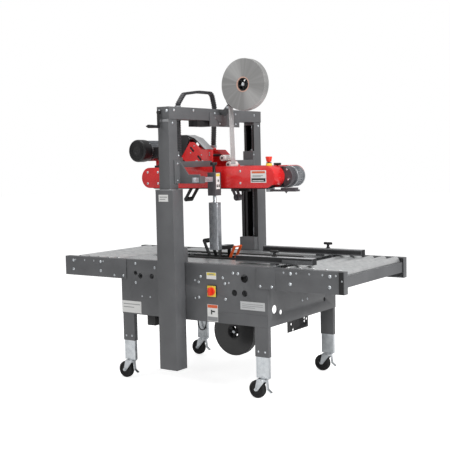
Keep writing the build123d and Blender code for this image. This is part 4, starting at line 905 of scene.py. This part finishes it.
terminal = bmesh.new()
block(terminal, (-0.500, -0.0485, 1.332), (-0.4455, 0.0415, 1.397), 0.003, 2)
block(terminal, (-0.4455, -0.0505, 1.330), (-0.4425, 0.0435, 1.399), 0.0012, 2)
turned(terminal, (-0.473, -0.0035, 1.332), (0, 0, -1),
       [(0, 0), (0, 0.010), (0.002, 0.0105), (0.010, 0.0105), (0.012, 0.008), (0.014, 0.008), (0.014, 0)],
       6)
tidy(terminal)
place_piece(terminal, "terminal_box", acetal, body="head", slot="black_plastic")
foot = bmesh.new()
block(foot, (-0.578, -0.0135, 1.3132), (-0.502, 0.1165, 1.3275), 0.0015)
for x in (-0.566, -0.514):
    block(foot, (x - 0.007, -0.010, 1.314), (x + 0.007, 0.113, 1.331), 0.0012)
place_piece(foot, "left_motor_foot", red_coat, body="head", slot="red_paint")
stop = bmesh.new()
block(stop, (-0.438, -0.094, 1.2721), (-0.398, -0.046, 1.2845), 0.0015)
turned(stop, (-0.418, -0.070, 1.284), (0, 0, 1),
       [(0, 0), (0, 0.009), (0.006, 0.009), (0.0068, 0.008), (0.0068, 0)], 6)
tidy(stop)
place_piece(stop, "belt_tension_block", black_coat, body="head", slot="black_paint", smooth=20)

GEAR_X, GEAR_Z = 0.440, 1.2095
box = bmesh.new()
turned(box, (GEAR_X, -0.0105, GEAR_Z), (0, 1, 0),
       [(0, 0), (0, 0.0545), (0.0025, 0.057), (0.0395, 0.057), (0.042, 0.0545), (0.042, 0)], 56)
block(box, (0.342, -0.0105, 1.1502), (GEAR_X, 0.0315, 1.2663), 0.002)
turned(box, (GEAR_X + 0.030, -0.0135, GEAR_Z - 0.018), (0, 1, 0),
       [(0, 0), (0, 0.0130), (0.001, 0.0140), (0.004, 0.0140), (0.004, 0)], 32)
tidy(box)
place_piece(box, "gearbox", dark_coat, body="head", slot="grey_paint")
screws("gearbox_screws",
       [(GEAR_X + 0.030, -0.0135, GEAR_Z - 0.018), (GEAR_X + 0.020, -0.0105, GEAR_Z + 0.038),
        (GEAR_X - 0.022, -0.0105, GEAR_Z + 0.040)], (0, -1, 0), 0.0060, "head", zinc)
right = bmesh.new()
finned(right, (0.450, 0.0315, 1.2095), 0.0820, 0.0545, 0.0600, 30, 0.0600)
tidy(right)
place_piece(right, "right_motor_body", cast_metal, body="head", slot="cast_aluminium")
knob = bmesh.new()
turned(knob, (0.385, 0.0115, 1.2655), (0, 0, 1),
       [(0, 0), (0, 0.0052), (0.008, 0.0052), (0.0082, 0.0150), (0.0095, 0.0200), (0.012, 0.0218),
        (0.018, 0.0220), (0.0205, 0.0205), (0.0215, 0.0170), (0.0205, 0.008), (0.0205, 0)], 40)
tidy(knob)
place_piece(knob, "belt_tension_knob", acetal, body="head", slot="black_plastic")
shelf = bmesh.new()
block(shelf, (0.372, -0.0610, 1.1250), (0.545, -0.0110, 1.1355), 0.0012)
block(shelf, (0.445, -0.0560, 1.1352), (0.535, -0.0110, 1.1465), 0.0016)
block(shelf, (0.355, -0.0380, 1.1352), (0.372, -0.0110, 1.1500), 0.001)
turned(shelf, (0.470, -0.036, 1.1252), (0, 0, -1),
       [(0, 0), (0, 0.008), (0.004, 0.008), (0.005, 0.004), (0.011, 0.004), (0.011, 0)], 6)
tidy(shelf)
place_piece(shelf, "belt_tension_slide", dark_coat, body="head", slot="grey_paint", smooth=20)
slide_end = bmesh.new()
block(slide_end, (0.352, -0.0630, 1.1230), (0.379, -0.0110, 1.1480), 0.0015)
place_piece(slide_end, "belt_tension_end", cast_metal, body="head", slot="cast_aluminium")

# ---------------------------------------------------------------------------
# Upper taping head: tilted red side plates with slots, white tape rollers, a black knife box and a
# curved grey guard. The apply and buffing arms hang below it.
# ---------------------------------------------------------------------------
upper_head = softened("upper_tape_head", 0.0009, "upper_head_frame", black_coat)
CENTRE = 0.0515
painted_where(upper_head, red_coat, lambda c: abs(c.y - CENTRE) > 0.0535 and c.x < 0.115 and c.x > -0.30
              and not (c.x > -0.262 and c.x < -0.234 and c.z > 1.384 and c.z < 1.401
              and abs(c.y - CENTRE) < 0.0541))
# Guard enamel: pale grey, the outer sheet of the curved guard. The same pale grey paints the light on the
# side guides' top faces.
pale_enamel_and_top_light = new_finish("satin enamel, pale grey, and painted top light", "#A9AAAC", 0.0, 0.4)
grain(pale_enamel_and_top_light, 4, 0.1)
painted_where(upper_head, pale_enamel_and_top_light, lambda c: abs(c.y - CENTRE) < 0.040 and c.z > 1.40 and c.x > -0.262)
# Nylon: the tape rollers, off-white and waxy.
nylon = new_finish("nylon, natural", "#E6E4E0", 0.0, 0.45)
rollers = bmesh.new()
for x, z, radius in ((-0.008, 1.322, 0.0186), (0.035, 1.283, 0.0176)):
    turned(rollers, (x, CENTRE - 0.0306, z), (0, 1, 0),
           [(0, 0.0065), (0, radius - 0.002), (0.0015, radius), (0.0830, radius), (0.0840, radius - 0.001),
            (0.0840, 0.006), (0, 0.0065)], 40)
tidy(rollers)
place_piece(rollers, "upper_tape_rollers", nylon, body="head", slot="black_plastic")
ends = bmesh.new()
for x, z in ((-0.008, 1.322), (0.035, 1.283)):
    turned(ends, (x, CENTRE - 0.0312, z), (0, -1, 0),
           [(-0.002, 0), (-0.002, 0.0064), (0.003, 0.0064), (0.0035, 0.0058), (0.0035, 0)], 24)
tidy(ends)
place_piece(ends, "tape_roller_pins", black_coat, body="head", slot="turned_steel")
slots = bmesh.new()
tilt = Matrix.Rotation(radians(48), 4, "Y")
plate_front = CENTRE - 0.058
for x, z in ((-0.2115, 1.3785), (-0.157, 1.3255)):
    turn = Matrix.Translation((x, plate_front - 0.0004, z)) @ tilt
    block(slots, (-0.0135, -0.0002, -0.0065), (0.0135, 0.0006, 0.0065), 0.0002, 1, turn)
    for way in (-1, 1):
        turned(slots, turn @ Vector((way * 0.0135, 0, 0)), (0, -1, 0),
               [(-0.0006, 0), (-0.0006, 0.0065), (0.0002, 0.0065), (0.0002, 0)], 24)
tidy(slots)
place_piece(slots, "plate_slots", black_coat, body="head", slot="black_paint")
screws("upper_head_screws",
       [(x, plate_front, z) for x,
        z in ((-0.196, 1.399), (-0.223, 1.357), (-0.141, 1.343), (-0.171, 1.306), (-0.080, 1.355),
              (-0.080, 1.340), (-0.222, 1.262))], (0, -1, 0), 0.0045, "head", zinc)
screws("upper_head_rear_screws",
       [(x, CENTRE + 0.058, z) for x, z in ((-0.222, 1.340), (-0.080, 1.340), (0.030, 1.215))], (0, 1, 0),
       0.006, "head", zinc)
softened("upper_apply_arm", 0.0018, "upper_apply_arm_bars", black_coat)
softened("upper_buff_arm", 0.0018, "upper_buff_arm_bars", dark_coat)

# ---------------------------------------------------------------------------
# Upper roll bracket: a folded plate on the beam, its hanger, a guide pin and the tape that runs down.
# ---------------------------------------------------------------------------
softened("upper_roll_bracket", 0.0010, "roll_bracket", grey_coat)
screws("roll_bracket_screws",
       [(-0.0485, y, z) for y,
        z in ((0.012, 1.590), (0.016, 1.566), (0.062, 1.528), (0.235, 1.530), (0.235, 1.590))], (1, 0, 0),
       0.0065, "machine", zinc)
wedge = bmesh.new()
wedge_places = ((-0.0485, -0.015, 1.580), (-0.0485, 0.095, 1.511), (-0.0485, 0.100, 1.580),
                (-0.0180, 0.096, 1.580), (-0.0180, 0.096, 1.520))
corner = [wedge.verts.new(p) for p in wedge_places]
for path in ((0, 1, 2), (0, 3, 4, 1), (0, 2, 3), (1, 4, 3, 2)):
    wedge.faces.new([corner[i] for i in path])
bmesh.ops.bevel(wedge, geom=wedge.edges[:], offset=0.0012, offset_type="OFFSET", segments=2, profile=0.5,
                affect="EDGES", clamp_overlap=True, material=-1)
tidy(wedge)
place_piece(wedge, "roll_bracket_gusset", grey_coat, body="machine", slot="grey_paint")
guide = bmesh.new()
turned(guide, (0.036, CENTRE - 0.030, 1.622), (0, 1, 0),
       [(0, 0), (0, 0.0072), (0.001, 0.0074), (0.055, 0.0074), (0.055, 0)], 32)
tidy(guide)
place_piece(guide, "tape_guide_pin", ground_steel, body="machine", slot="turned_steel")
# Clear film: thin and glassy, with a faint grey cast from the glue on its back.
clear_film = new_finish("clear tape film", "#D9D9D9", 0.0, 0.18, transmission_weight=0.55, ior=1.35)
softened("tape_web", 0.0, "upper_tape_web", clear_film)

# ---------------------------------------------------------------------------
# Cable chain: a moulded link chain that carries the head's wiring up and over the beam.
# ---------------------------------------------------------------------------
CHAIN_X = -0.1595
CHAIN_LINE = ((-0.2045, 1.3005), (-0.2045, 1.640), (-0.1435, 1.705), (-0.0085, 1.722), (0.1365, 1.722),
              (0.1635, 1.640), (0.1455, 1.3860))
route = bpy.data.curves.new("chain_route", "CURVE")
route.dimensions = "3D"
route.resolution_u = 24
line = route.splines.new("BEZIER")
line.bezier_points.add(2 * (len(CHAIN_LINE) - 2) + 1)
knots = []
for before, here, after in zip(CHAIN_LINE, CHAIN_LINE[1:], CHAIN_LINE[2:]):
    here = Vector((CHAIN_X, *here))
    into, away = (here - Vector((CHAIN_X, *before))).normalized(), (Vector((CHAIN_X,
                                                                            *after)) - here).normalized()
    reach = 0.035 * tan(into.angle(away) / 2)
    knots += [(here - into * reach, here - into * reach * 0.42),
              (here + away * reach, here + away * reach * 0.42)]
first, last = Vector((CHAIN_X, *CHAIN_LINE[0])), Vector((CHAIN_X, *CHAIN_LINE[-1]))
knots = [(first, first.lerp(knots[0][0], 0.3))] + knots + [(last, last.lerp(knots[-1][0], 0.3))]
for number, (bezier, (place, handle_at)) in enumerate(zip(line.bezier_points, knots)):
    bezier.co = place
    bezier.handle_left_type = bezier.handle_right_type = "FREE"
    if number % 2:
        bezier.handle_left, bezier.handle_right = place.lerp(knots[number - 1][0], 0.3), handle_at
    else:
        bezier.handle_left, bezier.handle_right = handle_at, place.lerp(knots[min(number + 1,
                                                                                  len(knots) - 1)][0], 0.3)
traced = bpy.data.objects.new("chain_route", route)
steps = [v.co.copy() for v in bpy.data.meshes.new_from_object(traced).vertices]
bpy.data.objects.remove(traced)
links = bmesh.new()
joints = bmesh.new()
walked, next_link = 0.0, 0.007
for here, there in zip(steps, steps[1:]):
    span = (there - here).length
    while span > 0 and next_link <= walked + span:
        place = here.lerp(there, (next_link - walked) / span)
        lean = Matrix.Rotation(atan2(-(there - here).y, (there - here).z), 4, "X")
        turn = Matrix.Translation(place) @ lean
        block(links, (-0.015, -0.008, -0.0050), (0.015, 0.008, 0.0050), 0.0012, 1, turn)
        block(joints, (-0.0125, -0.0062, -0.0080), (0.0125, 0.0062, 0.0080), 0.001, 1, turn)
        next_link += 0.0140
    walked += span
# Moulded nylon links: black nylon coloured mid grey, which is painted highlight on the links' ribs, in
# cloudy tone.
link_nylon_and_painted_sheen = new_finish("glass-filled nylon, black", "#3A3A3C", 0.0, 0.42)
clouds(link_nylon_and_painted_sheen, "#46464A", "#2B2B2D", 8)
place_piece(links, "chain_links", link_nylon_and_painted_sheen, "cable_chain")
place_piece(joints, "chain_link_joints", acetal, body="machine", slot="black_plastic")
cuff = bmesh.new()
block(cuff, (CHAIN_X - 0.0165, -0.2045 - 0.0095, 1.6165), (CHAIN_X + 0.0165, -0.2045 + 0.0095, 1.632),
      0.001)
block(cuff, (CHAIN_X - 0.0165, 0.1455 - 0.0095, 1.3860), (CHAIN_X + 0.0165, 0.1465 + 0.0095, 1.402), 0.001)
place_piece(cuff, "chain_cuffs", cast_metal, body="machine", slot="cast_aluminium")

# ---------------------------------------------------------------------------
# Side compression: a fixed arm on the front column, a clamp that slides in it, and a pressed steel
# shoe that stands on a screwed rod with a spring.
# ---------------------------------------------------------------------------
softened("compression_arm", 0.0014, "compression_arm_frame", grey_coat)
screws("compression_arm_screws", [(-0.0505, -0.360, z) for z in (1.200, 1.294)], (1, 0, 0), 0.0065,
       "machine", zinc)
# Brushed stainless: the sliding bar and the shoe, streaked along their length.
brushed = new_finish("brushed stainless steel", "#C9CCD0", 0.9, 0.3)
clouds(brushed, "#D3D6DA", "#B3B7BD", 25)
grain(brushed, 1.5, 0.04, (1, 1, 0.05), rough=(0.24, 0.4))
clamp = softened("compression_clamp", 0.0014, "compression_clamp_body", dark_coat)
painted_where(clamp, brushed, lambda c: c.y < -0.2060 and abs(c.z - 1.201) < 0.0145)
painted_where(clamp, acetal, lambda c: c.z > 1.2405)
COMP_X, COMP_Y = 0.070, -0.1745
sign("clamp_sign", (-0.1935, 1.143, COMP_X + 0.026), (-0.1555, 1.235), "x", "compression_slide",
     ((paper, 0, 1, 0, 1), (sign_yellow, 0.05, 0.95, 0.80, 0.97), (sign_black, 0.12, 0.40, 0.12, 0.30),
      (sign_black, 0.60, 0.88, 0.12, 0.30), (sign_black, 0.40, 0.70, 0.46, 0.60)))
spring = bmesh.new()
profile = [spring.verts.new((COMP_X + 0.0105 + 0.0013 * cos(radians(a)), COMP_Y,
                             1.0675 + 0.0013 * sin(radians(a)))) for a in range(0, 360, 45)]
rim = [spring.edges.new(pair) for pair in zip(profile, profile[1:] + profile[:1])]
bmesh.ops.spin(spring, geom=profile + rim, cent=(COMP_X, COMP_Y, 0), axis=(0, 0, 1), angle=2 * pi * 7,
               dvec=(0, 0, 0.036 / 168), steps=168)
bmesh.ops.holes_fill(spring, edges=spring.edges)
tidy(spring, 1e-7)
place_piece(spring, "shoe_spring", zinc, body="compression_shoe", slot="zinc_steel")
softened("compression_shoe", 0.0022, "compression_shoe_sheet", brushed)

# ---------------------------------------------------------------------------
# Side guides: grey channels whose top faces are painted pale as painted light from above, with a black
# slide strip and end caps, on T-handled clamps.
# ---------------------------------------------------------------------------
FRONT_STRIP_END = 0.551
for flank, middle, knob_x, start, end in (("front", -0.2065, 0.490, 0.245, 0.742),
                                          ("rear", 0.3095, 0.545, 0.100, 0.776)):
    rail = softened(f"side_guide_{flank}", 0.0014, f"{flank}_guide_channel", grey_coat)
    # top face painted pale grey: painted light falling from above
    painted_where(rail, pale_enamel_and_top_light, lambda c: c.z > 0.7715 and c.z < 0.7725)
    painted_where(rail, acetal, lambda c: c.z > 0.7726)
    painted_where(rail, acetal, lambda c: c.z < 0.7725 and (c.x < start + 0.002 or c.x > end - 0.002))
    strip = bmesh.new()
    inner = middle + (0.0225 if flank == "front" else -0.0225)
    y0, y1 = sorted((inner, inner + (0.0022 if flank == "front" else -0.0022)))
    block(strip, (start + 0.004, y0, 0.7445), (end - 0.004, y1, 0.7655), 0.0007)
    outer = middle - (0.0225 if flank == "front" else -0.0225)
    y0, y1 = sorted((outer, outer - (0.0018 if flank == "front" else -0.0018)))
    block(strip, (start + 0.004, y0, 0.7615), (end - 0.004, y1, 0.7700), 0.0006)
    if flank == "front":
        block(strip, (start + 0.001, outer - 0.0012, 0.7455), (FRONT_STRIP_END, outer, 0.7700), 0.0004)
    place_piece(strip, f"{flank}_guide_strip", acetal, body=f"{flank}_guide", slot="black_plastic")
    cap = bmesh.new()
    turned(cap, (knob_x, middle, 0.772), (0, 0, 1),
           [(0, 0), (0, 0.013), (0.0015, 0.014), (0.004, 0.014), (0.005, 0.012), (0.006, 0.0090),
            (0.016, 0.0080), (0.022, 0.0085), (0.024, 0.007), (0.024, 0)], 32)
    turned(cap, (knob_x - 0.027, middle, 0.802), (1, 0, 0),
           [(0, 0), (0, 0.004), (0.002, 0.0070), (0.008, 0.0082), (0.027, 0.0076), (0.046, 0.0082),
            (0.052, 0.0070), (0.054, 0.004), (0.054, 0)], 24)
    tidy(cap)
    place_piece(cap, f"{flank}_guide_handle", acetal, body=f"{flank}_guide", slot="black_plastic")

# ---------------------------------------------------------------------------
# Controls: a red mushroom stop button on a yellow collar, and a red rotary main switch on its plate.
# ---------------------------------------------------------------------------
# Signal red and yellow mouldings: bright, satin.
signal_red = new_finish("moulded plastic, red", "#E8381F", 0.0, 0.35)
signal_yellow = new_finish("moulded plastic, yellow", "#F0D34A", 0.0, 0.4)
STOP = (0.375, -0.0635)
low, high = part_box("e_stop_button")
mushroom = bmesh.new()
rise = high.z - low.z
turned(mushroom, (STOP[0], STOP[1], low.z), (0, 0, 1),
       [(0, 0), (0, 0.0085), (0.0005, 0.0089), (0.030, 0.0089), (rise - 0.030, 0.0130),
        (rise - 0.028, 0.0142), (rise - 0.008, 0.0182), (rise - 0.003, 0.0190), (rise - 0.0008, 0.0182),
        (rise, 0.0150), (rise, 0)], 48)
tidy(mushroom)
place_piece(mushroom, "stop_mushroom", signal_red, "e_stop_button")
collar = bmesh.new()
turned(collar, (STOP[0], STOP[1], 1.272), (0, 0, 1),
       [(0, 0.0096), (0, 0.0185), (0.0015, 0.0195), (0.0035, 0.0195), (0.0045, 0.0175), (0.0130, 0.0160),
        (0.0140, 0.0150), (0.0140, 0.0096), (0, 0.0096)], 48)
tidy(collar)
place_piece(collar, "stop_collar", signal_yellow, body="head", slot="red_plastic")
ring = bmesh.new()
turned(ring, (STOP[0], STOP[1], 1.286), (0, 0, 1),
       [(0, 0.0096), (0, 0.0152), (0.0045, 0.0152), (0.0045, 0.0096), (0, 0.0096)], 48)
tidy(ring)
place_piece(ring, "stop_collar_ring", acetal, body="head", slot="black_plastic")

low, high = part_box("main_switch_knob")
SWITCH_X, SWITCH_Z = 0.153, 0.575
switch = bmesh.new()
block(switch, (SWITCH_X - 0.031, FRONT - 0.0060, SWITCH_Z - 0.033),
      (SWITCH_X + 0.031, FRONT, SWITCH_Z + 0.033), 0.0015)
place_piece(switch, "main_switch_box", acetal, body="machine", slot="black_plastic")
plate = bmesh.new()
block(plate, (SWITCH_X - 0.029, FRONT - 0.0068, SWITCH_Z - 0.031),
      (SWITCH_X + 0.029, FRONT - 0.0058, SWITCH_Z + 0.031), 0.0004)
place_piece(plate, "main_switch_plate", signal_yellow, body="machine", slot="red_plastic")
knob = bmesh.new()
turned(knob, (SWITCH_X, high.y, SWITCH_Z), (0, -1, 0),
       [(0, 0), (0, 0.0049), (0.0135, 0.0049), (0.0140, 0.0225), (0.0155, 0.0240), (0.0265, 0.0235),
        (0.0280, 0.0215), (0.0280, 0)], 48)
block(knob, (SWITCH_X - 0.008, low.y + 0.0003, SWITCH_Z - 0.0225),
      (SWITCH_X + 0.008, high.y - 0.0270, SWITCH_Z + 0.0225), 0.0025, 3)
tidy(knob)
place_piece(knob, "main_switch_grip", signal_red, "main_switch_knob")
